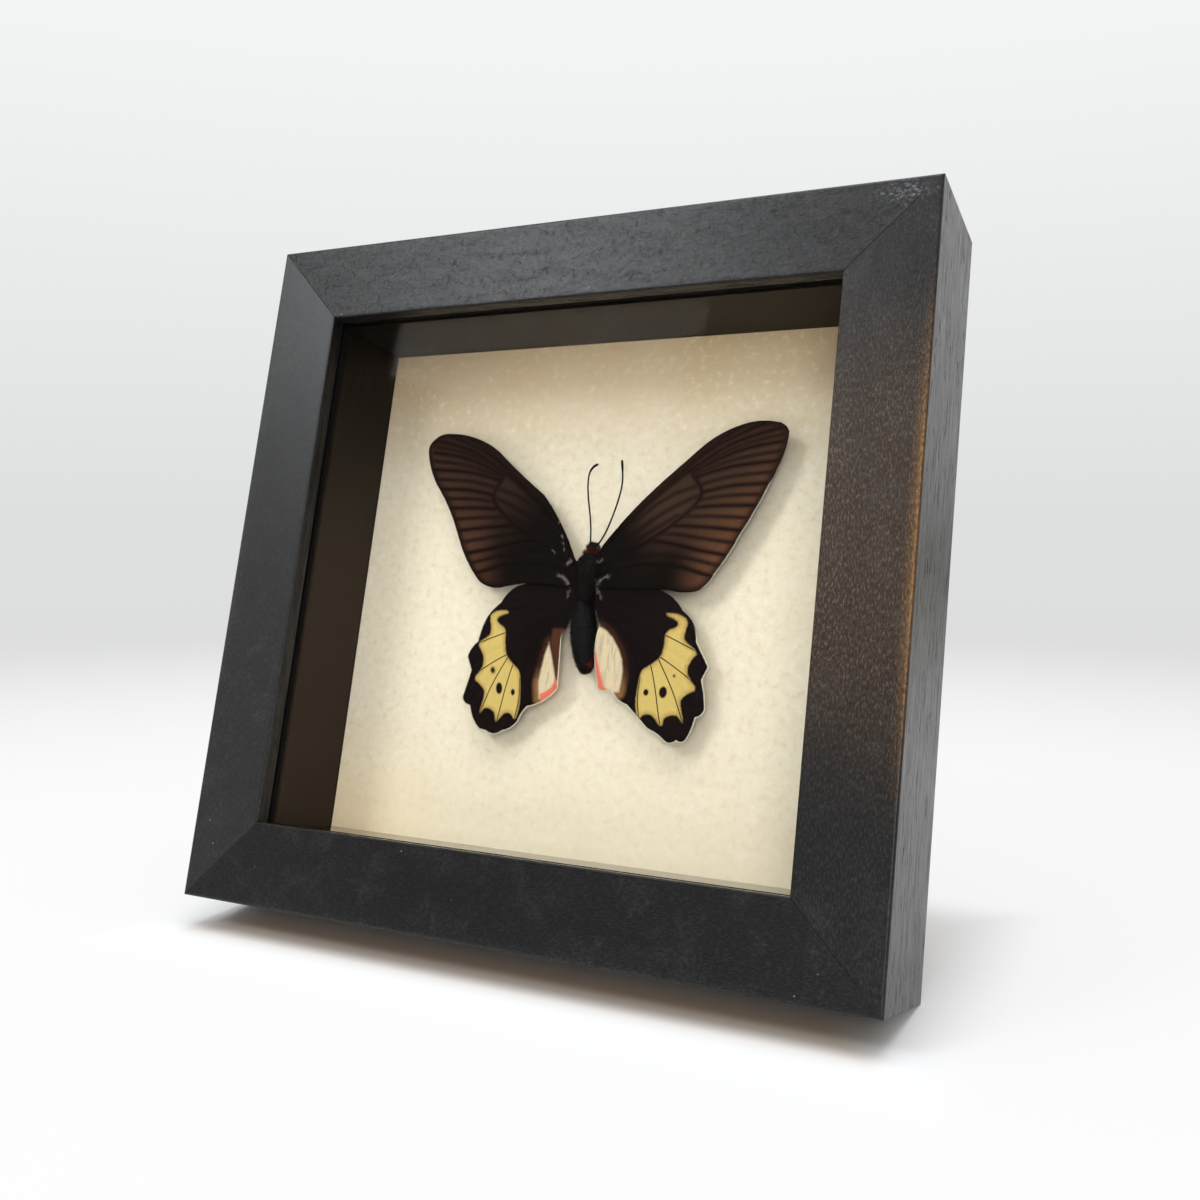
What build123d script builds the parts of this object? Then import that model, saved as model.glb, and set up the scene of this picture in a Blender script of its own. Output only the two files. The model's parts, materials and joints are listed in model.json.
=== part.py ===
"""Glazed box frame holding a spread swallowtail butterfly, leaning back on its easel strut.

Millimetres. X runs across the case, -Y faces the viewer, +Z is up. The origin is on the surface
that the case stands on, below the middle of its footprint.
"""

import os
from math import atan2, cos, degrees, radians, sin, tan

from build123d import *

os.makedirs("parts", exist_ok=True)

# ---------------------------------------------------------------- driving sizes
CASE_WIDTH = 180.0
CASE_HEIGHT = 175.0
LEAN = 14.3                # degrees that the case leans back
RAIL_FACE = 20.5           # width of a rail, seen from the front
RABBET = 6.5               # width of the step that holds the glass and the spacers
OUTER_ARRIS = 0.7          # rounding of the outer edges
SIGHT_ARRIS = 0.4          # rounding of the edge around the opening

# What lies behind the face, front to back
LIP = 3.8
GLASS = 2.0
TAPE = 1.2
CAVITY = 22.8
PAPER = 0.3
BOARD = 1.5
PANEL = 3.0

PANE_PLAY = 0.5            # gap between the rabbet and each side of glass, paper and boards
SPACER_PLAY = 0.2
TAPE_SETBACK = 0.8         # how far the tape stays behind the edge of the opening
PANE_SEAM = 0.3            # ground edge of the glass

NAIL_LEG = 5.0
NAIL_THICK = 0.5
NAIL_DEPTH = 8.0
NAIL_PLAY = 0.05

BUTTON_LENGTH = 22.0
BUTTON_WIDTH = 8.0
BUTTON_THICK = 1.0
BUTTON_LIFT = 0.1          # washer gap between a button and the wood
BUTTON_END = 5.0           # from the screw to the button's outer end
BUTTON_RISE = 45.0         # height of the screws above and below the middle
SCREW_SHANK = 1.4
SCREW_HEAD = 2.7
SCREW_HEAD_RISE = 1.5
SCREW_LENGTH = 11.0
TURNING_PLAY = 0.08        # running clearance, measured on the radius

STRUT_OPEN = 27.0          # degrees between the open strut and the back
HINGE_RISE = 112.0         # height of the hinge pin up the back
LEAF_THICK = 0.8
LEAF_WIDTH = 18.0
LEAF_LENGTH = 16.0
KNUCKLE = 1.9
KNUCKLE_CLEAR = 2.4        # from the pin to the full width of a leaf
TONGUE_HALF = 3.5
TONGUE_GAP = 0.3
PIN = 1.0
PIN_HEAD = 1.6
PIN_HEAD_THICK = 0.6
STRUT_THICK = 2.5
STRUT_TOP_WIDTH = 24.0
STRUT_FOOT_WIDTH = 46.0
STRUT_TOP = -2.6           # top end of the strut, below the pin
RIVET = 1.0
RIVET_HEAD = 2.0
RIVET_RISE = 0.5
RIVET_TAIL = 1.8
RIVET_TAIL_THICK = 0.4
RIVET_SIDE = 5.2
RIVET_ALONG = 10.0         # from the pin to the rivets
STOP_GAP = 0.05

HANGER_RISE = 150.0
STRAP_THICK = 0.6
STRAP_WIDTH = 6.0
STRAP_LENGTH = 9.0
RING_WIRE = 0.8
RING_PLAY = 0.1
RING_WIDTH = 18.0
RING_HEIGHT = 15.0
RING_CORNER = 2.0
RING_SIDES = 8
RING_GAP = 0.3

# The specimen: places are measured from the centre of the opening
BODY_DEPTH = 25.7
FOREWING_DEPTH = 24.7
HINDWING_DEPTH = 25.2
WING_THICK = 0.3
THORAX_CENTRE = (2.3, 2.6)
THORAX_TURN = -5.0         # degrees that the thorax leans, anticlockwise from the front
THORAX_RADIUS = 3.5
THORAX_HALF_LENGTH = 6.6
THORAX_RINGS = ((-1, 0.62), (-0.7, 0.86), (-0.25, 1), (0.25, 0.97), (0.7, 0.74), (1, 0.4))
ABDOMEN_TURN = 9.5
ABDOMEN_LENGTH = 18.0
ABDOMEN_RADIUS = 3.4
ABDOMEN_RINGS = (
    (-0.05, 0.6), (0.15, 0.84), (0.42, 1), (0.64, 0.9), (0.83, 0.64), (0.94, 0.36), (1, 0.12),
)
HEAD_RISE = 1.0            # from the neck to the middle of the head
HEAD_RADIUS = 1.6
HEAD_RINGS = ((-0.7, 0.72), (-0.2, 0.98), (0.35, 0.96), (0.75, 0.7), (1, 0.3))
BODY_SIDES = 16
EYE_SEAT = 1.3             # from the middle of the head to the flat face of an eye
EYE_RISE = 0.15
EYE_FORWARD = 0.3
EYE_RADIUS = 0.75
EYE_RINGS = ((0.3, 22), (0.25, 55))    # how high each ring of an eye stands, and its taper
EYE_SIDES = 12
VEIN_WIDE = 0.35
VEIN_NARROW = 0.2
VEIN_RISE = 0.1
LEFT_FORE_SET = (3.0, 4.7, 1.6)    # turn, and shift across and up, against the mirrored right wing
LEFT_HIND_SET = (5.2, 4.6, 0.4)
ANTENNA_DEPTH = 24.6
ANTENNA_RADIUS = 0.2
ANTENNA_SIDES = 6
ANTENNA_LEFT = ((2.6, 10.4), (0.2, 24.0), (2.1, 32.0))
ANTENNA_RIGHT = ((4.0, 10.4), (9.0, 23.0), (8.7, 32.9))
CLUB_RADIUS = 0.35
CLUB_LENGTH = 2.4
CLUB_TAPER = 4
PAD_WIDTH = 5.0
PAD_LENGTH = 8.0

# ---------------------------------------------------------------- sizes that follow
GLASS_FRONT = LIP
TAPE_FRONT = GLASS_FRONT + GLASS
SPACER_FRONT = TAPE_FRONT + TAPE
PAPER_FRONT = SPACER_FRONT + CAVITY
BOARD_FRONT = PAPER_FRONT + PAPER
PANEL_FRONT = BOARD_FRONT + BOARD
CASE_DEPTH = PANEL_FRONT + PANEL

SIGHT_WIDTH = CASE_WIDTH - 2 * RAIL_FACE
SIGHT_HEIGHT = CASE_HEIGHT - 2 * RAIL_FACE
POCKET_WIDTH = SIGHT_WIDTH + 2 * RABBET
POCKET_HEIGHT = SIGHT_HEIGHT + 2 * RABBET
PANE_WIDTH = POCKET_WIDTH - 2 * PANE_PLAY
PANE_HEIGHT = POCKET_HEIGHT - 2 * PANE_PLAY
SPACER_THICK = RABBET - SPACER_PLAY
BACK_RAIL = RAIL_FACE - RABBET
SCREW_X = CASE_WIDTH / 2 - BACK_RAIL / 2
PIN_DEPTH = CASE_DEPTH + KNUCKLE

# The case stands on its rear lower edge and on the strut's foot
sin_lean = sin(radians(LEAN))
cos_lean = cos(radians(LEAN))
strut_slope = radians(STRUT_OPEN - LEAN)
edge_drop = OUTER_ARRIS * (sin_lean + cos_lean - 1)
edge_z = -edge_drop
pin_z = edge_z + HINGE_RISE * cos_lean - KNUCKLE * sin_lean
pin_behind_edge = HINGE_RISE * sin_lean + KNUCKLE * cos_lean
strut_rear = KNUCKLE - LEAF_THICK
foot_behind_pin = (pin_z + strut_rear * sin(strut_slope)) * tan(strut_slope) + strut_rear * cos(strut_slope)
front_before_edge = CASE_DEPTH * cos_lean - edge_drop
edge_y = (front_before_edge - pin_behind_edge - foot_behind_pin) / 2
STRUT_REACH = pin_z / cos(strut_slope) + STRUT_THICK
STOP_HEEL = strut_rear * (1 + cos(radians(STRUT_OPEN))) / sin(radians(STRUT_OPEN)) - STOP_GAP


# ---------------------------------------------------------------- planes
def leaning(origin, lean):
    """Plane facing the viewer and leaning back: x across, y up, z towards the viewer."""
    return Plane(origin=origin, x_dir=(1, 0, 0), z_dir=(0, -cos(radians(lean)), sin(radians(lean))))


def facing(base, x=0.0, up=0.0, depth=0.0):
    """Plane parallel to a leaning one, at a place across, up and behind it."""
    origin = base.from_local_coords((x, up, -depth))
    return Plane(origin=origin, x_dir=base.x_dir, z_dir=base.z_dir)


def crossing(base, x=0.0, up=0.0, depth=0.0):
    """Plane square to X there: its x runs backwards and its y upwards."""
    origin = base.from_local_coords((x, up, -depth))
    return Plane(origin=origin, x_dir=base.z_dir * -1, z_dir=base.x_dir)


face_y = edge_y + CASE_HEIGHT / 2 * sin_lean - CASE_DEPTH * cos_lean
face_z = edge_z + CASE_HEIGHT / 2 * cos_lean + CASE_DEPTH * sin_lean
CASE = leaning((0, face_y, face_z), LEAN)
UP_THE_CASE = Axis((0, 0, 0), CASE.y_dir)

pin_up = HINGE_RISE - CASE_HEIGHT / 2
STRUT = leaning(CASE.from_local_coords((0, pin_up, -PIN_DEPTH)), LEAN - STRUT_OPEN)

ring_up = HANGER_RISE - CASE_HEIGHT / 2
HANGER_EYE_RADIUS = RING_WIRE + RING_PLAY + STRAP_THICK
RING = leaning(CASE.from_local_coords((0, ring_up, -CASE_DEPTH - HANGER_EYE_RADIUS)), 0)

CORNERS = [(x, up) for x in (-1, 1) for up in (-1, 1)]


def save(builder, label):
    """Name a finished piece and write it."""
    builder.part.label = label
    export_step(builder.part, f"parts/{label}.step")


# ---------------------------------------------------------------- moulding
def corner_nail_outline(x_side, up_side, play):
    """Draw one V-shaped nail on the mitre, its legs along the two rails."""
    x = x_side * (CASE_WIDTH / 2 - BACK_RAIL / 2)
    up = up_side * (CASE_HEIGHT / 2 - BACK_RAIL / 2)
    half = NAIL_THICK / 2
    with Locations((x - x_side * (NAIL_LEG / 2 - half), up)):
        Rectangle(NAIL_LEG + 2 * play, NAIL_THICK + 2 * play)
    with Locations((x, up - up_side * (NAIL_LEG / 2 - half))):
        Rectangle(NAIL_THICK + 2 * play, NAIL_LEG + 2 * play)


def make_rail(outline, along):
    """One rail: mitred ends, eased arrises, a rabbet behind the lip and slots for the nails."""
    with BuildPart() as rail:
        with BuildSketch(CASE):
            with BuildLine():
                Polyline(*outline, close=True)
            make_face()
        extrude(amount=-CASE_DEPTH)
        long_edges = rail.edges().filter_by(along)
        outer_edges = long_edges.group_by(SortBy.LENGTH)[-1]
        sight_edge = long_edges.group_by(SortBy.LENGTH)[0].sort_by(Axis.Y)[0]
        fillet(outer_edges, OUTER_ARRIS)
        fillet(sight_edge, SIGHT_ARRIS)
        with BuildSketch(facing(CASE, depth=LIP)):
            Rectangle(POCKET_WIDTH, POCKET_HEIGHT)
        extrude(amount=-CASE_DEPTH, mode=Mode.SUBTRACT)
        with BuildSketch(facing(CASE, depth=CASE_DEPTH)):
            for x_side, up_side in CORNERS:
                corner_nail_outline(x_side, up_side, NAIL_PLAY)
        extrude(amount=NAIL_DEPTH, mode=Mode.SUBTRACT)
        if along is UP_THE_CASE:
            with BuildSketch(facing(CASE, depth=CASE_DEPTH)):
                with GridLocations(2 * SCREW_X, 2 * BUTTON_RISE, 2, 2):
                    Circle(SCREW_SHANK)
            extrude(amount=SCREW_LENGTH, mode=Mode.SUBTRACT)
    return rail


outer_x, outer_up = CASE_WIDTH / 2, CASE_HEIGHT / 2
sight_x, sight_up = SIGHT_WIDTH / 2, SIGHT_HEIGHT / 2

for label, side in (("rail_top", 1), ("rail_bottom", -1)):
    ends = [(-outer_x, side * outer_up), (outer_x, side * outer_up)]
    ends += [(sight_x, side * sight_up), (-sight_x, side * sight_up)]
    save(make_rail(ends, Axis.X), label)

for label, side in (("rail_left", -1), ("rail_right", 1)):
    ends = [(side * outer_x, -outer_up), (side * outer_x, outer_up)]
    ends += [(side * sight_x, sight_up), (side * sight_x, -sight_up)]
    save(make_rail(ends, UP_THE_CASE), label)

with BuildPart() as corner_nails:
    with BuildSketch(facing(CASE, depth=CASE_DEPTH)):
        for x_side, up_side in CORNERS:
            corner_nail_outline(x_side, up_side, 0)
    extrude(amount=NAIL_DEPTH)
save(corner_nails, "corner_nails")

# ---------------------------------------------------------------- glass, tape and spacers
with BuildPart() as glass_pane:
    with BuildSketch(facing(CASE, depth=GLASS_FRONT)):
        Rectangle(PANE_WIDTH, PANE_HEIGHT)
    extrude(amount=-GLASS)
    chamfer(glass_pane.edges(), PANE_SEAM)
save(glass_pane, "glass_pane")

with BuildPart() as glazing_tape:
    with BuildSketch(facing(CASE, depth=TAPE_FRONT)):
        Rectangle(PANE_WIDTH, PANE_HEIGHT)
        Rectangle(SIGHT_WIDTH + 2 * TAPE_SETBACK, SIGHT_HEIGHT + 2 * TAPE_SETBACK, mode=Mode.SUBTRACT)
    extrude(amount=-TAPE)
save(glazing_tape, "glazing_tape")


def make_spacer(x, up, width, height):
    """One strip of the wall between the glass and the backing paper."""
    with BuildPart() as spacer:
        with BuildSketch(facing(CASE, x, up, SPACER_FRONT)):
            Rectangle(width, height)
        extrude(amount=-CAVITY)
    return spacer


spacer_x = sight_x + SPACER_THICK / 2
spacer_up = sight_up + SPACER_THICK / 2
save(make_spacer(0, spacer_up, SIGHT_WIDTH + 2 * SPACER_THICK, SPACER_THICK), "spacer_top")
save(make_spacer(0, -spacer_up, SIGHT_WIDTH + 2 * SPACER_THICK, SPACER_THICK), "spacer_bottom")
save(make_spacer(-spacer_x, 0, SPACER_THICK, SIGHT_HEIGHT), "spacer_left")
save(make_spacer(spacer_x, 0, SPACER_THICK, SIGHT_HEIGHT), "spacer_right")

# ---------------------------------------------------------------- paper, board and back panel
with BuildPart() as backing_paper:
    with BuildSketch(facing(CASE, depth=PAPER_FRONT)):
        Rectangle(PANE_WIDTH, PANE_HEIGHT)
    extrude(amount=-PAPER)
save(backing_paper, "backing_paper")

with BuildPart() as mount_board:
    with BuildSketch(facing(CASE, depth=BOARD_FRONT)):
        Rectangle(PANE_WIDTH, PANE_HEIGHT)
    extrude(amount=-BOARD)
save(mount_board, "mount_board")

hinge_rivets = [(-RIVET_SIDE, pin_up + RIVET_ALONG), (RIVET_SIDE, pin_up + RIVET_ALONG)]
hanger_rivets = [(0, ring_up - STRAP_LENGTH / 2)]

with BuildPart() as back_panel:
    with BuildSketch(facing(CASE, depth=PANEL_FRONT)):
        Rectangle(PANE_WIDTH, PANE_HEIGHT)
    extrude(amount=-PANEL)
    with BuildSketch(facing(CASE, depth=PANEL_FRONT)):
        with Locations(*hinge_rivets, *hanger_rivets):
            Circle(RIVET_TAIL)
    extrude(amount=-RIVET_TAIL_THICK, mode=Mode.SUBTRACT)
    with BuildSketch(facing(CASE, depth=PANEL_FRONT)):
        with Locations(*hinge_rivets, *hanger_rivets):
            Circle(RIVET)
    extrude(amount=-PANEL, mode=Mode.SUBTRACT)
save(back_panel, "back_panel")


# ---------------------------------------------------------------- turn buttons
def make_turn_button(side, up):
    """A stamped button on a side rail, pointing inwards over the back panel."""
    middle = side * (SCREW_X - BUTTON_LENGTH / 2 + BUTTON_END)
    with BuildPart() as button:
        with BuildSketch(facing(CASE, middle, up, CASE_DEPTH + BUTTON_LIFT)):
            SlotOverall(BUTTON_LENGTH, BUTTON_WIDTH)
        extrude(amount=-BUTTON_THICK)
        with BuildSketch(facing(CASE, side * SCREW_X, up, CASE_DEPTH)):
            Circle(SCREW_SHANK + TURNING_PLAY)
        extrude(amount=-2 * BUTTON_THICK, mode=Mode.SUBTRACT)
    return button


for side_name, side in (("left", -1), ("right", 1)):
    save(make_turn_button(side, BUTTON_RISE), f"turn_button_{side_name}_upper")
    save(make_turn_button(side, -BUTTON_RISE), f"turn_button_{side_name}_lower")

screw_seat = CASE_DEPTH + 2 * BUTTON_LIFT + BUTTON_THICK
with BuildPart() as turn_button_screws:
    with BuildSketch(facing(CASE, depth=screw_seat)):
        with GridLocations(2 * SCREW_X, 2 * BUTTON_RISE, 2, 2):
            Circle(SCREW_HEAD)
    extrude(amount=-SCREW_HEAD_RISE, taper=25)
    with BuildSketch(facing(CASE, depth=screw_seat)):
        with GridLocations(2 * SCREW_X, 2 * BUTTON_RISE, 2, 2):
            Circle(SCREW_SHANK)
    extrude(amount=screw_seat - CASE_DEPTH + SCREW_LENGTH)
save(turn_button_screws, "turn_button_screws")


# ---------------------------------------------------------------- easel strut and its hinge
def make_leaf(base, plate_depth, plate_side, tongues, knuckles, bore, heel=0.0):
    """A stamped leaf: a plate on one side of the pin, with tongues rolled into knuckles round it."""
    with BuildPart() as leaf:
        with BuildSketch(facing(base, depth=plate_depth)):
            with Locations((0, plate_side * (KNUCKLE_CLEAR + LEAF_LENGTH / 2))):
                RectangleRounded(LEAF_WIDTH, LEAF_LENGTH, 1.5)
            for start, end in tongues:
                with Locations(((start + end) / 2, plate_side * (KNUCKLE_CLEAR + 1.5) / 2)):
                    Rectangle(end - start, KNUCKLE_CLEAR + 1.5)
                if heel:
                    with Locations(((start + end) / 2, -plate_side * heel / 2)):
                        Rectangle(end - start, heel)
            with Locations(*[(x, plate_side * RIVET_ALONG) for x in (-RIVET_SIDE, RIVET_SIDE)]):
                Circle(RIVET, mode=Mode.SUBTRACT)
        extrude(amount=-LEAF_THICK)
        for start, end in knuckles:
            with BuildSketch(crossing(base, start)):
                Circle(KNUCKLE)
            extrude(amount=end - start)
        for start, end in knuckles:
            with BuildSketch(crossing(base, start)):
                Circle(bore)
            extrude(amount=end - start, mode=Mode.SUBTRACT)
    return leaf


PIVOT = facing(CASE, up=pin_up, depth=PIN_DEPTH)
outer_tongue = TONGUE_HALF + TONGUE_GAP
outer_spans = [(-LEAF_WIDTH / 2, -outer_tongue), (outer_tongue, LEAF_WIDTH / 2)]
inner_span = [(-TONGUE_HALF, TONGUE_HALF)]

hinge_panel_leaf = make_leaf(PIVOT, -KNUCKLE, 1, outer_spans, outer_spans, PIN)
save(hinge_panel_leaf, "hinge_panel_leaf")
hinge_strut_leaf = make_leaf(STRUT, strut_rear, -1, inner_span, inner_span, PIN + TURNING_PLAY, STOP_HEEL)
save(hinge_strut_leaf, "hinge_strut_leaf")

with BuildPart() as hinge_pin:
    with BuildSketch(crossing(PIVOT, -LEAF_WIDTH / 2)):
        Circle(PIN)
    extrude(amount=LEAF_WIDTH)
    for start in (-LEAF_WIDTH / 2 - PIN_HEAD_THICK, LEAF_WIDTH / 2):
        with BuildSketch(crossing(PIVOT, start)):
            Circle(PIN_HEAD)
        extrude(amount=PIN_HEAD_THICK)
save(hinge_pin, "hinge_pin")

with BuildPart() as strut_board:
    with BuildSketch(facing(STRUT, depth=strut_rear - STRUT_THICK)) as strut_outline:
        with BuildLine():
            Polyline(
                (-STRUT_TOP_WIDTH / 2, STRUT_TOP),
                (STRUT_TOP_WIDTH / 2, STRUT_TOP),
                (STRUT_FOOT_WIDTH / 2, -STRUT_REACH),
                (-STRUT_FOOT_WIDTH / 2, -STRUT_REACH),
                close=True,
            )
        make_face()
        fillet(strut_outline.vertices().group_by(Axis.Y)[-1], 3)
    extrude(amount=-STRUT_THICK)
    split(bisect_by=Plane.XY, keep=Keep.TOP)
    strut_rivet_places = [(-RIVET_SIDE, -RIVET_ALONG), (RIVET_SIDE, -RIVET_ALONG)]
    with BuildSketch(facing(STRUT, depth=strut_rear - STRUT_THICK)):
        with Locations(*strut_rivet_places):
            Circle(RIVET_TAIL)
    extrude(amount=-RIVET_TAIL_THICK, mode=Mode.SUBTRACT)
    with BuildSketch(facing(STRUT, depth=strut_rear - STRUT_THICK)):
        with Locations(*strut_rivet_places):
            Circle(RIVET)
    extrude(amount=-STRUT_THICK, mode=Mode.SUBTRACT)
save(strut_board, "strut_board")


def make_rivets(base, places, tail_depth, head_depth):
    """Rivets: a flat tail let into the board, a shank and a domed head on the metal."""
    with BuildPart() as rivets:
        with BuildSketch(facing(base, depth=tail_depth)):
            with Locations(*places):
                Circle(RIVET_TAIL)
        extrude(amount=-RIVET_TAIL_THICK)
        with BuildSketch(facing(base, depth=tail_depth)):
            with Locations(*places):
                Circle(RIVET)
        extrude(amount=tail_depth - head_depth)
        with BuildSketch(facing(base, depth=head_depth)):
            with Locations(*places):
                Circle(RIVET_HEAD)
        extrude(amount=-RIVET_RISE, taper=35)
    return rivets


save(make_rivets(CASE, hinge_rivets, PANEL_FRONT, CASE_DEPTH + LEAF_THICK), "panel_rivets")
strut_front = strut_rear - STRUT_THICK
save(make_rivets(STRUT, strut_rivet_places, strut_front, strut_rear + LEAF_THICK), "strut_rivets")

# ---------------------------------------------------------------- hanger
HANGER_EYE = facing(CASE, up=ring_up, depth=CASE_DEPTH + HANGER_EYE_RADIUS)
with BuildPart() as hanger_strap:
    with BuildSketch(facing(HANGER_EYE, depth=-HANGER_EYE_RADIUS)):
        with Locations((0, -STRAP_LENGTH / 2)):
            Rectangle(STRAP_WIDTH, STRAP_LENGTH)
        with Locations((0, -STRAP_LENGTH / 2)):
            Circle(RIVET, mode=Mode.SUBTRACT)
    extrude(amount=-STRAP_THICK)
    with BuildSketch(crossing(HANGER_EYE, -STRAP_WIDTH / 2)):
        Circle(HANGER_EYE_RADIUS)
    extrude(amount=STRAP_WIDTH)
    with BuildSketch(crossing(HANGER_EYE, -STRAP_WIDTH / 2)):
        Circle(RING_WIRE + RING_PLAY)
    extrude(amount=STRAP_WIDTH, mode=Mode.SUBTRACT)
save(hanger_strap, "hanger_strap")
save(make_rivets(CASE, hanger_rivets, PANEL_FRONT, CASE_DEPTH + STRAP_THICK), "hanger_rivet")

with BuildPart() as hanger_ring:
    with BuildLine(RING) as ring_line:
        FilletPolyline(
            (RING_GAP / 2, 0),
            (RING_WIDTH / 2, 0),
            (0, -RING_HEIGHT),
            (-RING_WIDTH / 2, 0),
            (-RING_GAP / 2, 0),
            radius=RING_CORNER,
        )
    with BuildSketch(crossing(RING, RING_GAP / 2)):
        RegularPolygon(RING_WIRE, RING_SIDES)
    sweep(path=ring_line.wires()[0])
save(hanger_ring, "hanger_ring")


# ---------------------------------------------------------------- the butterfly's body
def turned(base, angle):
    """The same plane, turned about its own normal."""
    return Plane(base.location * Rotation(0, 0, angle))


def across(base, rise):
    """Plane square to a body's own line, at a distance along it."""
    return Plane(origin=base.from_local_coords((0, rise, 0)), x_dir=base.x_dir, z_dir=base.y_dir)


def make_body(base, rings, length, radius):
    """A many-sided body of tapered lengths. Its rings are shares of the length and of the radius."""
    with BuildPart() as body:
        for ring, next_ring in zip(rings, rings[1:]):
            wide, narrow = (ring, next_ring) if ring[1] > next_ring[1] else (next_ring, ring)
            run = (narrow[0] - wide[0]) * length
            shrink = (wide[1] - narrow[1]) * radius
            with BuildSketch(across(base, wide[0] * length)):
                RegularPolygon(wide[1] * radius, BODY_SIDES, major_radius=False)
            extrude(amount=run, taper=degrees(atan2(shrink, abs(run))))
    return body


BODY = turned(facing(CASE, *THORAX_CENTRE, BODY_DEPTH), THORAX_TURN)
WAIST = across(BODY, -THORAX_HALF_LENGTH)
NECK = across(BODY, THORAX_HALF_LENGTH)
TAIL = turned(Plane(WAIST.origin, x_dir=CASE.x_dir, z_dir=CASE.z_dir), ABDOMEN_TURN + 180)
FACE = facing(BODY, up=THORAX_HALF_LENGTH + HEAD_RISE)

thorax = make_body(BODY, THORAX_RINGS, THORAX_HALF_LENGTH, THORAX_RADIUS)
save(thorax, "thorax")

tail_form = make_body(TAIL, ABDOMEN_RINGS, ABDOMEN_LENGTH, ABDOMEN_RADIUS)
with BuildPart() as abdomen:
    add(tail_form.part)
    split(bisect_by=WAIST, keep=Keep.BOTTOM)
save(abdomen, "abdomen")

head_form = make_body(FACE, HEAD_RINGS, HEAD_RADIUS, HEAD_RADIUS)
with BuildPart() as head:
    add(head_form.part)
    split(bisect_by=NECK, keep=Keep.TOP)
    for side in (-1, 1):
        seat = FACE.from_local_coords((side * EYE_SEAT, 0, 0))
        split(bisect_by=Plane(seat, z_dir=FACE.x_dir * side), keep=Keep.BOTTOM)
save(head, "head")

with BuildPart() as eyes:
    for side in (-1, 1):
        seat = FACE.from_local_coords((side * EYE_SEAT, EYE_RISE, EYE_FORWARD))
        ring_radius = EYE_RADIUS
        for rise, taper in EYE_RINGS:
            with BuildSketch(Plane(seat, z_dir=FACE.x_dir * side)):
                RegularPolygon(ring_radius, EYE_SIDES)
            extrude(amount=rise, taper=taper)
            seat += FACE.x_dir * side * rise
            ring_radius -= rise * tan(radians(taper))
save(eyes, "eyes")


# ---------------------------------------------------------------- wings
def draw_wing_edge(outline):
    """Close a chain of arcs. A point's third number is how far the arc that ends there bulges left."""
    for (x, up, _), (next_x, next_up, bulge) in zip(outline, outline[1:] + outline[:1]):
        if bulge:
            SagittaArc((x, up), (next_x, next_up), bulge)
        else:
            Line((x, up), (next_x, next_up))


def vein_corners(start, end):
    """Corners of a straight vein that narrows from its start to its end."""
    along = (Vector(*end) - Vector(*start)).normalized()
    out = Vector(-along.Y, along.X) / 2
    near, far = Vector(*start), Vector(*end)
    return near + out * VEIN_WIDE, far + out * VEIN_NARROW, far - out * VEIN_NARROW, near - out * VEIN_WIDE


def make_wing(outline, depth, veins):
    """A thin wing with raised veins on its front, cut back where it meets the body."""
    with BuildPart() as wing:
        with BuildSketch(facing(CASE, depth=depth)) as blade:
            with BuildLine():
                draw_wing_edge(outline)
            make_face()
        extrude(amount=-WING_THICK)
        with BuildSketch(facing(CASE, depth=depth)):
            for start, end in veins:
                with BuildLine():
                    Polyline(*vein_corners(start, end), close=True)
                make_face()
            add(blade.sketch_local, mode=Mode.INTERSECT)
        extrude(amount=VEIN_RISE)
        add(thorax.part, mode=Mode.SUBTRACT)
        add(abdomen.part, mode=Mode.SUBTRACT)
    return wing


def branch(*points):
    """Split a run of points into the straight veins between them."""
    return list(zip(points, points[1:]))


def to_left(veins, turn, shift_x, shift_up):
    """Mirror a right wing's veins, then turn and shift them to how the left wing is set."""
    turn_cos, turn_sin = cos(radians(turn)), sin(radians(turn))

    def place(point):
        x, up = -point[0], point[1]
        return (x * turn_cos - up * turn_sin + shift_x, x * turn_sin + up * turn_cos + shift_up)

    return [(place(start), place(end)) for start, end in veins]


# Wing edges, from the root along the leading edge and back along the outer margin
FOREWING_RIGHT = [
    (3.5, 6.5, 0), (5.8, 10.7, 0), (20.9, 27.6, 0.55), (30.4, 36.2, 0), (39.8, 41.3, 0.56),
    (48.6, 41.8, 0.58), (52.1, 39.2, 0.64), (51.2, 33.4, 0.17), (42.2, 13.4, 0.54),
    (36.7, 4.1, 0.31), (32.1, -0.3, 0.78), (24.7, 0.0, 0.42), (4.0, 0.0, 0),
]
FOREWING_LEFT = [
    (0.8, 4.5, 0), (-1.8, 7.8, 0), (-12.8, 24.2, -0.73), (-28.0, 36.2, 0.24), (-45.2, 41.8, -1.4),
    (-50.6, 38.8, -0.83), (-50.5, 35.5, -0.3), (-46.6, 27.4, -0.4), (-37.4, 12.9, 0.63),
    (-29.2, 0.9, -0.65), (-22.7, -0.7, -0.57), (-14.5, 0.7, 0.14), (0.5, 0.0, 0),
]
HINDWING_RIGHT = [
    (4.0, -1.0, 0), (4.0, 2.0, 0), (16.0, 2.0, 0), (25.0, -1.0, 0.3), (29.2, -5.1, 0.36),
    (33.7, -12.4, 1.12), (37.4, -18.3, 0), (35.9, -21.5, 0), (37.4, -28.4, 0.23), (35.2, -30.6, 0.5),
    (33.2, -36.2, 0.29), (30.8, -36.4, 0.45), (27.3, -36.4, 0.71), (23.1, -34.2, -0.25),
    (17.0, -28.8, 0), (12.5, -25.4, 0.61), (9.0, -25.6, 0.16), (6.6, -15.5, 0.3), (7.4, -9.7, 0.22),
]
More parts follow.
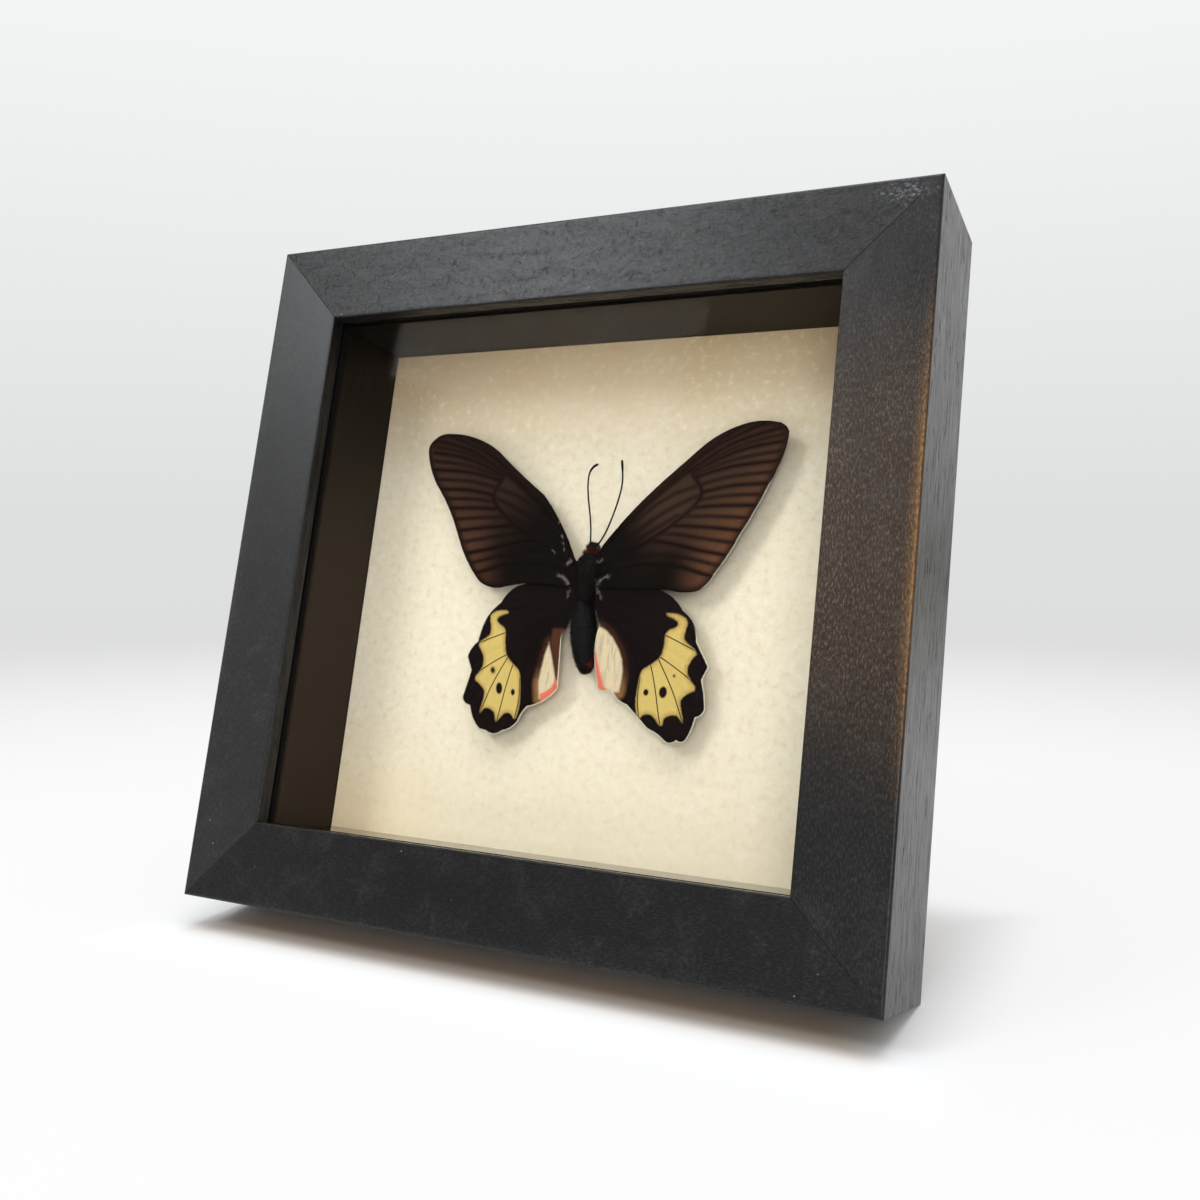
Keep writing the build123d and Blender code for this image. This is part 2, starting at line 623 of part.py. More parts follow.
HINDWING_LEFT = [
    (0.8, -3.0, 0), (0.5, 2.0, 0), (-9.0, 2.0, 0), (-17.6, 0.0, -0.2), (-21.9, -4.5, -0.54),
    (-27.6, -14.8, -1.3), (-30.3, -19.0, -0.41), (-28.6, -22.6, 0), (-30.3, -29.7, 0),
    (-27.6, -31.8, -0.58), (-24.0, -37.6, -0.62), (-21.7, -38.0, 0), (-17.1, -37.6, -0.81),
    (-12.7, -34.7, -0.57), (-10.6, -31.0, 0.24), (-2.2, -25.6, -0.94), (-2.8, -12.7, 0),
]

# Veins of the right wings: the two sides of the closed cell first, then what leaves it
FOREWING_VEINS = branch((4.0, 7.5), (18.0, 22.0), (27.8, 30.2), (29.6, 26.8), (31.2, 24.0))
FOREWING_VEINS += branch((31.2, 24.0), (28.8, 20.4), (18.4, 12.8), (4.0, 4.0))
FOREWING_VEINS += [((13.0, 17.0), (34.0, 38.2)), ((24.0, 27.2), (41.5, 41.5)), ((27.8, 30.2), (49.5, 41.0))]
FOREWING_VEINS += [((27.8, 30.2), (51.5, 36.0)), ((30.1, 28.2), (49.8, 30.5)), ((31.2, 24.3), (48.0, 26.0))]
FOREWING_VEINS += [((28.9, 20.4), (45.5, 20.2)), ((24.4, 16.5), (42.6, 14.2)), ((18.4, 12.8), (39.4, 8.2))]
FOREWING_VEINS += [((4.0, 3.0), (36.5, 3.9))]

HINDWING_VEINS = branch((4.0, 0.5), (17.0, -2.0), (25.4, -11.2), (24.6, -17.2), (20.2, -19.6), (4.0, -2.5))
HINDWING_VEINS += [((17.0, -2.0), (29.0, -5.0)), ((25.4, -11.2), (36.6, -17.0))]
HINDWING_VEINS += [((24.8, -16.6), (36.2, -23.6)), ((24.5, -17.2), (33.6, -35.0))]
HINDWING_VEINS += [((22.3, -18.5), (27.4, -36.6)), ((20.2, -19.6), (19.9, -31.6))]

for label, outline, depth, veins in (
    ("forewing_left", FOREWING_LEFT, FOREWING_DEPTH, to_left(FOREWING_VEINS, *LEFT_FORE_SET)),
    ("forewing_right", FOREWING_RIGHT, FOREWING_DEPTH, FOREWING_VEINS),
    ("hindwing_left", HINDWING_LEFT, HINDWING_DEPTH, to_left(HINDWING_VEINS, *LEFT_HIND_SET)),
    ("hindwing_right", HINDWING_RIGHT, HINDWING_DEPTH, HINDWING_VEINS),
):
    save(make_wing(outline, depth, veins), label)


# ---------------------------------------------------------------- feelers and pad
def make_antenna(root, bend, tip):
    """A feeler: straight out of the head, then one bend to a thicker club."""
    with BuildPart() as antenna:
        with BuildLine(facing(CASE, depth=ANTENNA_DEPTH)) as line:
            shaft = Line(root, bend)
            TangentArc(bend, tip, tangent=shaft % 1)
        with BuildSketch(Plane(line.line @ 0, z_dir=line.line % 0)):
            RegularPolygon(ANTENNA_RADIUS, ANTENNA_SIDES)
        sweep(path=line.wires()[0])
        with BuildSketch(Plane(line.line @ 1, z_dir=line.line % 1)):
            RegularPolygon(CLUB_RADIUS, ANTENNA_SIDES)
        extrude(amount=-CLUB_LENGTH, taper=CLUB_TAPER)
        add(head.part, mode=Mode.SUBTRACT)
        add(eyes.part, mode=Mode.SUBTRACT)
    return antenna


save(make_antenna(*ANTENNA_LEFT), "antenna_left")
save(make_antenna(*ANTENNA_RIGHT), "antenna_right")

with BuildPart() as specimen_pad:
    with BuildSketch(facing(CASE, *THORAX_CENTRE, BODY_DEPTH)):
        RectangleRounded(PAD_WIDTH, PAD_LENGTH, 1)
    extrude(amount=-(PAPER_FRONT - BODY_DEPTH))
    add(thorax.part, mode=Mode.SUBTRACT)
save(specimen_pad, "specimen_pad")
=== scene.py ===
import json
import math
import random

import bpy
import numpy as np
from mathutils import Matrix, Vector, noise
from mathutils.geometry import delaunay_2d_cdt


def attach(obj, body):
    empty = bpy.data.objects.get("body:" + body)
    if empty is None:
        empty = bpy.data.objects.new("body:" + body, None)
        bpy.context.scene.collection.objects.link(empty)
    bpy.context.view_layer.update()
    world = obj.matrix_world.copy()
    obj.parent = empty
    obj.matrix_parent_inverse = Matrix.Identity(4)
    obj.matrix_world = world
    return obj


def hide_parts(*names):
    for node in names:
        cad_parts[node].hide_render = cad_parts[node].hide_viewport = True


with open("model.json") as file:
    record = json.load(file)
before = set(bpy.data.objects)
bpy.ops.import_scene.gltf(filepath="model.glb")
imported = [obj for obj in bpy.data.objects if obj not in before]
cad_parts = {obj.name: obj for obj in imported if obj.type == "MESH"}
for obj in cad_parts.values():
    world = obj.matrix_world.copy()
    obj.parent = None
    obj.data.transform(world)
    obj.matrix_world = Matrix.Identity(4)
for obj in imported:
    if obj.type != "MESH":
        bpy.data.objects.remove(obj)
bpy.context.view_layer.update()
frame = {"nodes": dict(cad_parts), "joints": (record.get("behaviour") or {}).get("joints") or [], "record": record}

scene = bpy.context.scene
scene.view_settings.view_transform = "Standard"
noise.seed_set(1)              # without it, noise vectors change from one run to the next

# ---------------------------------------------------------------- camera
CAMERA_PLACE = (0.14597, -0.27582, 0.10363)
CAMERA_TILT = math.radians(90 - 3.62)
CAMERA_TURN = math.radians(26.72)
CAMERA_LENS = 37.32

camera = bpy.data.objects.new("camera", bpy.data.cameras.new("camera"))
camera.location = CAMERA_PLACE
camera.rotation_euler = (CAMERA_TILT, 0, CAMERA_TURN)
camera.data.lens = CAMERA_LENS
camera.data.sensor_width = 36
camera.data.clip_start = 0.01
scene.collection.objects.link(camera)
scene.camera = camera

# ---------------------------------------------------------------- the case's own directions
CASE_DEPTH = 0.0346
MM_PER_M = 1000
joints = {joint["name"]: joint for joint in frame["joints"]}
mounts = {mount["name"]: mount for mount in frame["record"]["mounts"]}

ACROSS = Vector((1, 0, 0))
BACK = Vector(joints["turn_button_left_upper_swivel"]["axis"]).normalized()
if BACK.y < 0:
    BACK = -BACK
UP = ACROSS.cross(BACK)
MIDDLE = (Vector(mounts["side_face_left"]["pos_m"]) + Vector(mounts["side_face_right"]["pos_m"])) / 2
FACE = MIDDLE - BACK * CASE_DEPTH / 2


def in_case(place):
    """A place in metres as millimetres across, up and back from the middle of the case's front."""
    away = Vector(place) - FACE
    return Vector((away.dot(ACROSS), away.dot(UP), away.dot(BACK))) * MM_PER_M


def at(across, up, depth):
    """A place given in the case's millimetres, in metres."""
    return FACE + (ACROSS * across + UP * up + BACK * depth) / MM_PER_M


def tint(code):
    """A colour from its six-digit code, as linear red, green and blue, or the colour itself."""
    if not isinstance(code, str):
        return code
    parts = [int(code[i:i + 2], 16) / 255 for i in (0, 2, 4)]
    return tuple(p / 12.92 if p <= 0.04045 else ((p + 0.055) / 1.055) ** 2.4 for p in parts)


# ---------------------------------------------------------------- shader arithmetic
class Value:
    """One socket of a finish, with Python's arithmetic on it."""

    def __init__(self, finish, socket):
        self.finish = finish
        self.socket = socket

    def __add__(self, other):
        return self.finish.sum("ADD", self, other)

    def __sub__(self, other):
        return self.finish.sum("SUBTRACT", self, other)

    def __mul__(self, other):
        return self.finish.sum("MULTIPLY", self, other)

    def __truediv__(self, other):
        return self.finish.sum("DIVIDE", self, other)

    def __radd__(self, other):
        return self.finish.sum("ADD", other, self)

    def __rsub__(self, other):
        return self.finish.sum("SUBTRACT", other, self)

    def __rmul__(self, other):
        return self.finish.sum("MULTIPLY", other, self)

    def __abs__(self):
        return self.finish.node("ShaderNodeMath", {"operation": "ABSOLUTE"}, {0: self})

    def least(self, other):
        return self.finish.sum("MINIMUM", self, other)

    def most(self, other):
        return self.finish.sum("MAXIMUM", self, other)

    def rise(self, low, high):
        """0 below low, 1 above high and a smooth step between them."""
        inputs = {"Value": self, "From Min": low, "From Max": high}
        return self.finish.node("ShaderNodeMapRange", {"interpolation_type": "SMOOTHSTEP"}, inputs)


class Shading:
    """The nodes of the room or of a finish. Colours in them may be six-digit codes."""

    def __init__(self, tree):
        self.tree = tree

    def feed(self, socket, value):
        if isinstance(value, Value):
            self.tree.links.new(value.socket, socket)
        elif socket.type == "RGBA":
            socket.default_value = (*tint(value), 1)
        else:
            socket.default_value = value

    def node(self, kind, settings=None, inputs=None, output=0):
        made = self.tree.nodes.new(kind)
        for name, value in (settings or {}).items():
            if name == "stops":
                self.set_stops(made.color_ramp, value)
            else:
                setattr(made, name, value)
        for socket, value in (inputs or {}).items():
            self.feed(made.inputs[socket], value)
        return Value(self, made.outputs[output])

    def set_stops(self, ramp, stops):
        while len(ramp.elements) < len(stops):
            ramp.elements.new(0.5)
        for element, (place, color) in zip(ramp.elements, stops):
            element.position = place
            element.color = (*tint(color), 1)

    def sum(self, operation, first, second):
        return self.node("ShaderNodeMath", {"operation": operation}, {0: first, 1: second})

    def vector(self, operation, first, second, output=0):
        return self.node("ShaderNodeVectorMath", {"operation": operation}, {0: first, 1: second}, output)

    def join(self, x, y, z):
        return self.node("ShaderNodeCombineXYZ", None, {0: x, 1: y, 2: z})

    def part(self, place, way):
        return self.node("ShaderNodeSeparateXYZ", None, {0: place}, way)

    def cloud(self, place, scale, detail=3, rough=0.5, twist=0):
        inputs = {"Vector": place, "Scale": scale, "Detail": detail, "Roughness": rough}
        return self.node("ShaderNodeTexNoise", None, {**inputs, "Distortion": twist}, "Fac")

    def cells(self, place, scale, feature="F1"):
        inputs = {"Vector": place, "Scale": scale}
        return self.node("ShaderNodeTexVoronoi", {"feature": feature}, inputs, "Distance")

    def field(self, name):
        return self.node("ShaderNodeAttribute", {"attribute_name": name}, output="Fac")

    def mix(self, share, first, second):
        return self.node("ShaderNodeMix", {"data_type": "RGBA"}, {0: share, 6: first, 7: second}, 2)

    def layers(self, ground, *coats):
        """Lay coats, each a colour with its mask, over a ground colour."""
        for color, mask in coats:
            ground = self.mix(mask, ground, color)
        return ground

    def end(self, node, result):
        self.feed(self.tree.nodes[node].inputs["Surface"], result)


class Finish(Shading):
    """A material that is being made, with millimetre places and the nodes that its surface needs."""

    def __init__(self, name, **constants):
        self.material = bpy.data.materials.new(name)
        self.material.use_nodes = True
        super().__init__(self.material.node_tree)
        self.surface = self.tree.nodes["Principled BSDF"]
        self.set_surface(constants)
        self.object_place = self.node("ShaderNodeTexCoord", output="Object")

    def set_surface(self, values):
        for socket, value in values.items():
            self.feed(self.surface.inputs[socket.replace("_", " ")], value)

    def case_places(self):
        """How far across, up and back from the middle of the case's front a point is, in mm."""
        away = self.vector("SUBTRACT", self.object_place, tuple(FACE))
        ways = (ACROSS, UP, BACK)
        return [self.vector("DOT_PRODUCT", away, tuple(way * MM_PER_M), "Value") for way in ways]

    def in_mm(self, stretch=(1, 1, 1)):
        return self.vector("MULTIPLY", self.object_place, tuple(MM_PER_M * s for s in stretch))

    def done(self, color, rough, height=None, distance=0.0, **more):
        """Give the surface a colour, a roughness and a relief, whose height of 1 is a distance in mm."""
        self.set_surface({"Base_Color": color, "Roughness": rough, **more})
        if height is not None:
            bump = self.node("ShaderNodeBump", None, {"Height": height, "Distance": distance / MM_PER_M})
            self.set_surface({"Normal": bump})
        return self.material


def coat(nodes, material):
    """Give CAD nodes a finish."""
    for name in nodes:
        target = frame["nodes"][name]
        target.data.materials.clear()
        target.data.materials.append(material)


# ---------------------------------------------------------------- floor, background and lamps
FLOOR_REACH = 30.0
HORIZON = "dedfdf"
ZENITH = "f3f4f4"
SWEEP_WHITE = (0.96, 0.96, 0.96)
TABLE_WHITE = (0.8, 0.81, 0.83)
TABLE_SCUFFED = (0.74, 0.75, 0.77)
TABLE_FAR = (0.80, 0.80, 0.80)
# brown shadow painted on the table under the case's raised front edge
PAINTED_SHADOW_TABLE = (0.58, 0.45, 0.34)
FOOTPRINT = (0.085, 0.044)     # half of the case's width and depth on the table, in metres
AMBIENT = 0.4
ROOM_COLOR = (1.0, 0.965, 0.9)
FRONT_ROOM = 0.55              # how bright the room in front of the case is in its gloss
SOFTBOXES = [                  # direction from the case, distance, size, radiance and colour
    ("softbox_left", (-0.45, -0.64, 0.62), 1.3, 0.36, 14.0, (0.93, 0.98, 1.0)),
    ("softbox_front", (0.42, -0.9, 0.27), 1.4, 0.6, 5.6, (1.0, 1.0, 1.0)),
    ("softbox_above", (0.05, -0.15, 1.0), 1.3, 1.0, 4.6, (1.0, 1.0, 1.0)),
]


def make_floor():
    mesh = bpy.data.meshes.new("floor")
    corners = [(x * FLOOR_REACH, y * FLOOR_REACH, 0) for x, y in ((-1, -1), (1, -1), (1, 1), (-1, 1))]
    mesh.from_pydata(corners, [], [(0, 1, 2, 3)])
    floor = bpy.data.objects.new("floor", mesh)
    scene.collection.objects.link(floor)
    finish = Finish("pale_table", Specular_IOR_Level=0.1)
    reach = finish.vector("LENGTH", finish.object_place, (0, 0, 0), "Value")
    scuffs = finish.cloud(finish.in_mm((0.02, 0.02, 0.02)), 1.2)
    near = finish.mix(scuffs * 0.1, TABLE_WHITE, TABLE_SCUFFED)
    table = finish.mix(reach.rise(0.25, 1.1), near, TABLE_FAR)
    aside = finish.part(finish.object_place, "X")
    behind = finish.part(finish.object_place, "Y")
    beside = (abs(aside) - FOOTPRINT[0]).most(abs(behind) - FOOTPRINT[1])
    # painted shadow: the table turns dark brown under and just in front of the raised front edge
    painted_shadow_below_edge = (1 - beside.rise(-0.012, 0.008)) * (1 - behind.rise(-0.036, -0.012))
    table = finish.mix(painted_shadow_below_edge, table, PAINTED_SHADOW_TABLE)
    backdrop = finish.mix(reach.rise(0.2, 0.9), SWEEP_WHITE, HORIZON)
    sweep = finish.node("ShaderNodeEmission", None, {"Color": backdrop})
    rays = finish.node("ShaderNodeLightPath", output="Is Camera Ray")
    share = rays * (0.8 * beside.rise(-0.002, 0.026) + 0.2 * reach.rise(0.3, 1.6))
    lit = Value(finish, finish.surface.outputs[0])
    finish.end("Material Output", finish.node("ShaderNodeMixShader", None, {0: share, 1: lit, 2: sweep}))
    mesh.materials.append(finish.done(table, 0.75))


def make_room():
    """The backdrop that the camera, gloss and glass see, and the plain light that falls on the case."""
    world = bpy.data.worlds.new("studio")
    scene.world = world
    world.use_nodes = True
    room = Shading(world.node_tree)
    seen, glossy, through = [
        room.node("ShaderNodeLightPath", output=kind)
        for kind in ("Is Camera Ray", "Is Glossy Ray", "Is Transmission Ray")
    ]
    direction = room.node("ShaderNodeTexCoord", output="Generated")
    stops = {"stops": [(0.0, HORIZON), (0.35, ZENITH)]}
    wall = room.node("ShaderNodeValToRGB", stops, {0: room.part(direction, "Z")})
    span = {"From Min": -0.1, "From Max": -0.7, "To Max": 1 - FRONT_ROOM}
    front = room.node("ShaderNodeMapRange", None, {"Value": room.part(direction, "Y"), **span})
    backdrop = room.node("ShaderNodeBackground", None, {"Color": wall, "Strength": 1 - front * glossy})
    light = room.node("ShaderNodeBackground", None, {"Color": ROOM_COLOR, "Strength": AMBIENT})
    choice = {0: seen.most(glossy).most(through), 1: light, 2: backdrop}
    room.end("World Output", room.node("ShaderNodeMixShader", None, choice))


def make_lamp(name, direction, distance, size, radiance, color):
    """A square softbox of one radiance that looks at the case."""
    lamp = bpy.data.lights.new(name, "AREA")
    lamp.color = color
    lamp.size = size
    lamp.energy = radiance * math.pi * size * size
    holder = bpy.data.objects.new(name, lamp)
    away = Vector(direction).normalized()
    holder.location = MIDDLE + away * distance
    holder.rotation_euler = away.to_track_quat("Z", "Y").to_euler()
    scene.collection.objects.link(holder)


make_floor()
make_room()
for softbox in SOFTBOXES:
    make_lamp(*softbox)

# ---------------------------------------------------------------- finishes of the frame
RAIL_HALF_WIDTH = 90.0
RAIL_HALF_HEIGHT = 87.5
MITRE_OFFSET = RAIL_HALF_WIDTH - RAIL_HALF_HEIGHT
OPENING = (69.5, 67.0)         # half of the opening between the rails, across and up
GRAIN_STRETCH = 0.07
PORE_STRETCH = 0.32
SCUFFED_CORNER = (82, 84.2)
BLACK = "000000"
PAINT_BLACK = "0e0d0e"
# black paint made deeper to paint shade over the bottom rail's middle
PAINT_SHADED_BLACK = "080708"
PAINT_WORN = "221f1e"
GREY_FLECK = "4a4b4f"
# warm brown glint painted over the right rail's middle
BROWN_GLINT_HAZE = "2b211b"
BROWN_FLECK = "7a6043"
# worn brown arris of the right rail, with a painted warm glint over it
WORN_BROWN_AND_GLINT = "906838"
DUST = "b4b2ae"
SCUFFED = "9aa0a8"
SMUDGED = "67625c"
RAIL_PAINTS = [                # grain, gloss, unevenness, painted light tint (a warm glint on the right rail, shade on the bottom one), flecks and their share, wear and its share
    ("top", "across", 0.21, 2.6, PAINT_BLACK, GREY_FLECK, 0.35, GREY_FLECK, 0.5),
    ("bottom", "across", 0.165, 0.6, PAINT_SHADED_BLACK, GREY_FLECK, 0.14, GREY_FLECK, 0.2),
    ("left", "up", 0.61, 0.3, PAINT_BLACK, GREY_FLECK, 0.15, GREY_FLECK, 0.3),
    ("right", "up", 0.19, 0.8, BROWN_GLINT_HAZE, BROWN_FLECK, 0.6, WORN_BROWN_AND_GLINT, 1.0),
]


def painted_wood(name, lengthwise, gloss, uneven, painted_light_tint, fleck, fleck_share, wear, wear_share):
    """Black lacquered wood of one rail, its grain along the rail, with a painted light tint over the middle of its
    front: a warm glint on the right rail, shade on the bottom one.
    """
    finish = Finish(name, Specular_IOR_Level=0.17, Coat_Roughness=0.32, Coat_IOR=1.5)
    across, up, depth = finish.case_places()
    front = 1 - depth.rise(0.5, 1.0)
    place = finish.join(across, up, depth)
    upright = lengthwise == "up"
    # the middle of the rail's front, where its flecks and wear show and where the painted light tint lies
    if upright:
        grain = finish.join(across, up * GRAIN_STRETCH, depth)
        pored = finish.join(across, up * PORE_STRETCH, depth)
        painted_light_and_fleck_zone = 1 - abs(up - 8).rise(13, 63)
    else:
        grain = finish.join(across * GRAIN_STRETCH, up, depth)
        pored = finish.join(across * PORE_STRETCH, up, depth)
        painted_light_and_fleck_zone = 1 - abs(across).rise(20, 95)
    blotch = finish.cloud(pored, 0.05, 2)
    streaks = finish.cloud(grain, 0.9, 5, 0.62)
    cracks = finish.cloud(grain, 1.7, 3, 0.7, 0.6)
    pores = finish.cloud(pored, 1.5, 4, 0.68)
    grit = finish.cloud(pored, 2.8, 4, 0.68)
    lint = finish.cloud(place, 1.1, 4, 0.72)
    ripples = finish.cloud(pored, 0.32, 3, 0.5, 0.8)
    dents = finish.cloud(place, 0.6, 4, 0.7, 0.5)
    smudges = finish.cloud(place, 0.1, 4, 0.7, 0.6)
    outer = (abs(across) - RAIL_HALF_WIDTH).most(abs(up) - RAIL_HALF_HEIGHT)
    arris = (0.35 * outer.rise(-3.4, -0.6) + 0.65 * outer.rise(-1.3, -0.2)) * front
    mitre = abs(abs(across) - abs(up) - MITRE_OFFSET)
    joint_line = (1 - mitre.rise(0.07, 0.25)) * front * (1 - 0.8 * outer.rise(-7, -2))
    opening = (abs(across) - OPENING[0]).most(abs(up) - OPENING[1])
    thick = blotch.rise(0.35, 0.6) * 0.4 + pores.rise(0.38, 0.62) * 0.6
    flecks = grit.rise(0.46, 0.64) * front * (0.12 + 0.88 * painted_light_and_fleck_zone) * (0.1 + 0.9 * thick)
    dusty = smudges.rise(0.46, 0.7) * lint.rise(0.36, 0.66) * front
    hollows = (1 - pores.rise(0.32, 0.5)) * painted_light_and_fleck_zone * front
    from_corner = abs(across - SCUFFED_CORNER[0]) / 9 + abs(up - SCUFFED_CORNER[1]) / 4
    knocked = (1 - from_corner.rise(0.2, 1.2)) * front
    edge_line = outer.rise(-0.5, -0.22) * front
    fissures = (1 - cracks.rise(0.36, 0.42)) * (1 - front)
    side_grain = streaks.rise(0.38, 0.66) * (1 - front)
    dust = 1 - finish.cells(place, 0.16).rise(0.018, 0.03)
    color = finish.layers(
        PAINT_BLACK,
        (PAINT_WORN, streaks.rise(0.4, 0.75) * (0.6 - 0.45 * front)),
        # painted light: a warm brown glint over the right rail's middle, painted shade over the bottom rail's
        # middle
        (painted_light_tint, painted_light_and_fleck_zone * front * 0.8),
        (fleck, flecks * fleck_share),
        (PAINT_BLACK, hollows * fleck_share * 0.6),
        # worn arris, on the right rail also a painted warm glint
        (wear, arris * painted_light_and_fleck_zone * (0.3 + 0.7 * grit.rise(0.4, 0.6)) * wear_share),
        (PAINT_BLACK, edge_line * wear_share * 0.7),
        (GREY_FLECK, grit.rise(0.45, 0.7) * (1 - painted_light_and_fleck_zone) * front * 0.2),
        (SMUDGED, dusty * 0.1),
        (SCUFFED, knocked * lint.rise(0.44, 0.66) * pores.rise(0.4, 0.6) * 0.5),
        (BLACK, fissures * 0.8),
        (BLACK, joint_line * 0.8),
        (DUST, dust * 0.55),
    )
    skin = lint + dents * 0.8 + ripples * 0.7 - 1.25
    bloomed = gloss * (1 + skin * uneven) * (0.35 + 0.65 * opening.rise(0.1, 1.2))
    sides = 0.3 + (0.42 * opening.rise(2, 6) if upright else 0.0)
    lacquer = bloomed * front + sides * (1 - front)
    lacquer = lacquer - 0.5 * fissures - 0.46 * side_grain - 0.2 * joint_line
    rough = 0.36 + 0.16 * flecks + 0.08 * (ripples - 0.5) + 0.3 * fissures + 0.1 * dusty
    pits = 1 - dents.rise(0.3, 0.4)
    relief = ripples * 0.7 + dents * 0.5 - pits * 0.25 - 0.5 * fissures - 0.6 * joint_line
    return finish.done(color, rough, relief, 0.08 + 0.09 * uneven, Coat_Weight=lacquer.most(0.0))


for rail, *paint in RAIL_PAINTS:
    coat(["rail_" + rail], painted_wood("painted_wood_" + rail, *paint))


def spacer_finish(name, painted_light_at_foot, gloss=0.09, polish=0.24, warm=(1.0, 1.0, 1.0)):
    """Dark brown lacquered strip, smooth enough to mirror the paper, painted lighter towards its foot where light
    falls, and with painted shade at its back edge against the paper.
    """
    finish = Finish(name, Specular_IOR_Level=gloss, Specular_Tint=warm)
    across, up, depth = finish.case_places()
    lengths = finish.cloud(finish.join(across * 0.05, up * 0.05, depth * 1.6), 1.0, 4, 0.6)
    specks = finish.cloud(finish.in_mm(), 2.4, 2)
    color = finish.layers(
        "15110e",
        ("1f1813", lengths.rise(0.35, 0.7)),
        # painted light: lighter brown towards the strip's foot, where the light falls on the left strip
        ("3a2f25", (0 - up).rise(-56, 0) * painted_light_at_foot),
        # painted shade where the strip meets the paper at its back
        ("0d0b0a", depth.rise(28.6, 29.8) * 0.7),
        ("4a3c30", specks.rise(0.68, 0.75) * 0.4),
    )
    return finish.done(color, polish + 0.12 * lengths, lengths, 0.02)


def tape_finish():
    """Black crêpe glazing tape."""
    finish = Finish("glazing_tape_black", Specular_IOR_Level=0.2)
    across, up, depth = finish.case_places()
    crepe = finish.cloud(finish.join(across, up, depth * 3), 2.6, 3, 0.6)
    color = finish.mix(crepe.rise(0.45, 0.75), "0a0a0b", "1d1c1c")
    return finish.done(color, 0.6 + 0.25 * crepe, crepe, 0.05)


def parchment():
    """Mottled cream parchment paper, tanned towards its upper edge, partly as painted shade, with painted shade in
    its upper left corner and painted light towards its foot and lower left.
    """
    finish = Finish("parchment_paper", Specular_IOR_Level=0.2)
    across, up = finish.case_places()[:2]
    flat = finish.join(across, up, 0.0)
    clouds = finish.cloud(flat, 0.06, 4, 0.55)
    mottle = finish.cloud(flat, 0.45, 4, 0.65)
    fibres = finish.cloud(finish.join(across * 0.35, up, 0.0), 2.6, 3, 0.6)
    cross_fibres = finish.cloud(finish.join(across, up * 0.35, 0.0), 2.6, 3, 0.6)
    weave = fibres * 0.5 + cross_fibres * 0.5
    top = up.rise(26, 70)
    foot = (0 - up).rise(30, 76)
    left = (0 - across).rise(10, 72)
    # tan towards the upper edge, part print, part painted shade under the top rail
    tan_and_shade_share = (top * 0.72 + (clouds - 0.5) * 0.3).least(1.0).most(0.0)
    color = finish.layers(
        "e9dfc8",
        # painted light: lighter paper towards the foot and lower left, warmer there too
        ("fff0cf", foot * (0.6 + 0.4 * left)),
        ("ffe2ae", foot * left * left * 0.5),
        ("c4a26d", tan_and_shade_share),
        # painted shade in the upper left corner
        ("8f7450", top * left * 0.4),
        ("fbf7ea", mottle.rise(0.5, 0.75) * 0.35),
        # less dark mottle and weave towards the foot, part of the painted light there
        ("d3bc90", (1 - mottle.rise(0.28, 0.5)) * (0.42 - 0.3 * foot)),
        ("cdb78e", (1 - weave.rise(0.3, 0.5)) * (0.25 - 0.15 * foot)),
    )
    return finish.done(color, 0.72 + 0.15 * mottle, mottle * 0.5 + weave * 0.5, 0.05)


def card_finish():
    """Grey-white core board with a fluffy cut edge."""
    finish = Finish("mount_board_card", Specular_IOR_Level=0.2)
    across, up, depth = finish.case_places()
    plies = finish.cloud(finish.join(across * 0.15, up * 0.15, depth), 3.0, 3, 0.7)
    fluff = finish.cloud(finish.in_mm(), 1.8, 4, 0.65)
    color = finish.layers("cfc9bb", ("aaa292", plies.rise(0.4, 0.65)), ("e2ddd0", fluff.rise(0.5, 0.7)))
    return finish.done(color, 0.8 + 0.1 * fluff, plies + fluff, 0.06)


def hardboard():
    """Pressed brown hardboard, smooth side out, with fibre flecks and handling marks."""
    finish = Finish("back_panel_hardboard", Specular_IOR_Level=0.3)
    across, up, depth = finish.case_places()
    flat = finish.join(across, up, depth)
    clouds = finish.cloud(flat, 0.035, 4, 0.6)
    fibres = finish.cloud(flat, 0.9, 5, 0.72, 1.2)
    specks = finish.cells(finish.vector("ADD", flat, finish.join(fibres, fibres, 0.0)), 0.55)
    scuffs = finish.cloud(finish.join(across * 0.08, up * 0.6, depth), 0.5, 3, 0.6, 0.4)
    color = finish.layers(
        "76512f",
        ("8d673f", clouds.rise(0.35, 0.65)),
        ("5a3b22", (1 - fibres.rise(0.3, 0.5)) * 0.7),
        ("a9855a", (1 - specks.rise(0.08, 0.2)) * 0.6),
        ("9c7a54", scuffs.rise(0.62, 0.72) * 0.5),
    )
    return finish.done(color, 0.45 + 0.25 * fibres + 0.1 * scuffs, fibres, 0.07)


STRUT_TOP = 105.4
STRUT_TOP_HALF = 12.0
STRUT_FOOT_HALF = 22.8


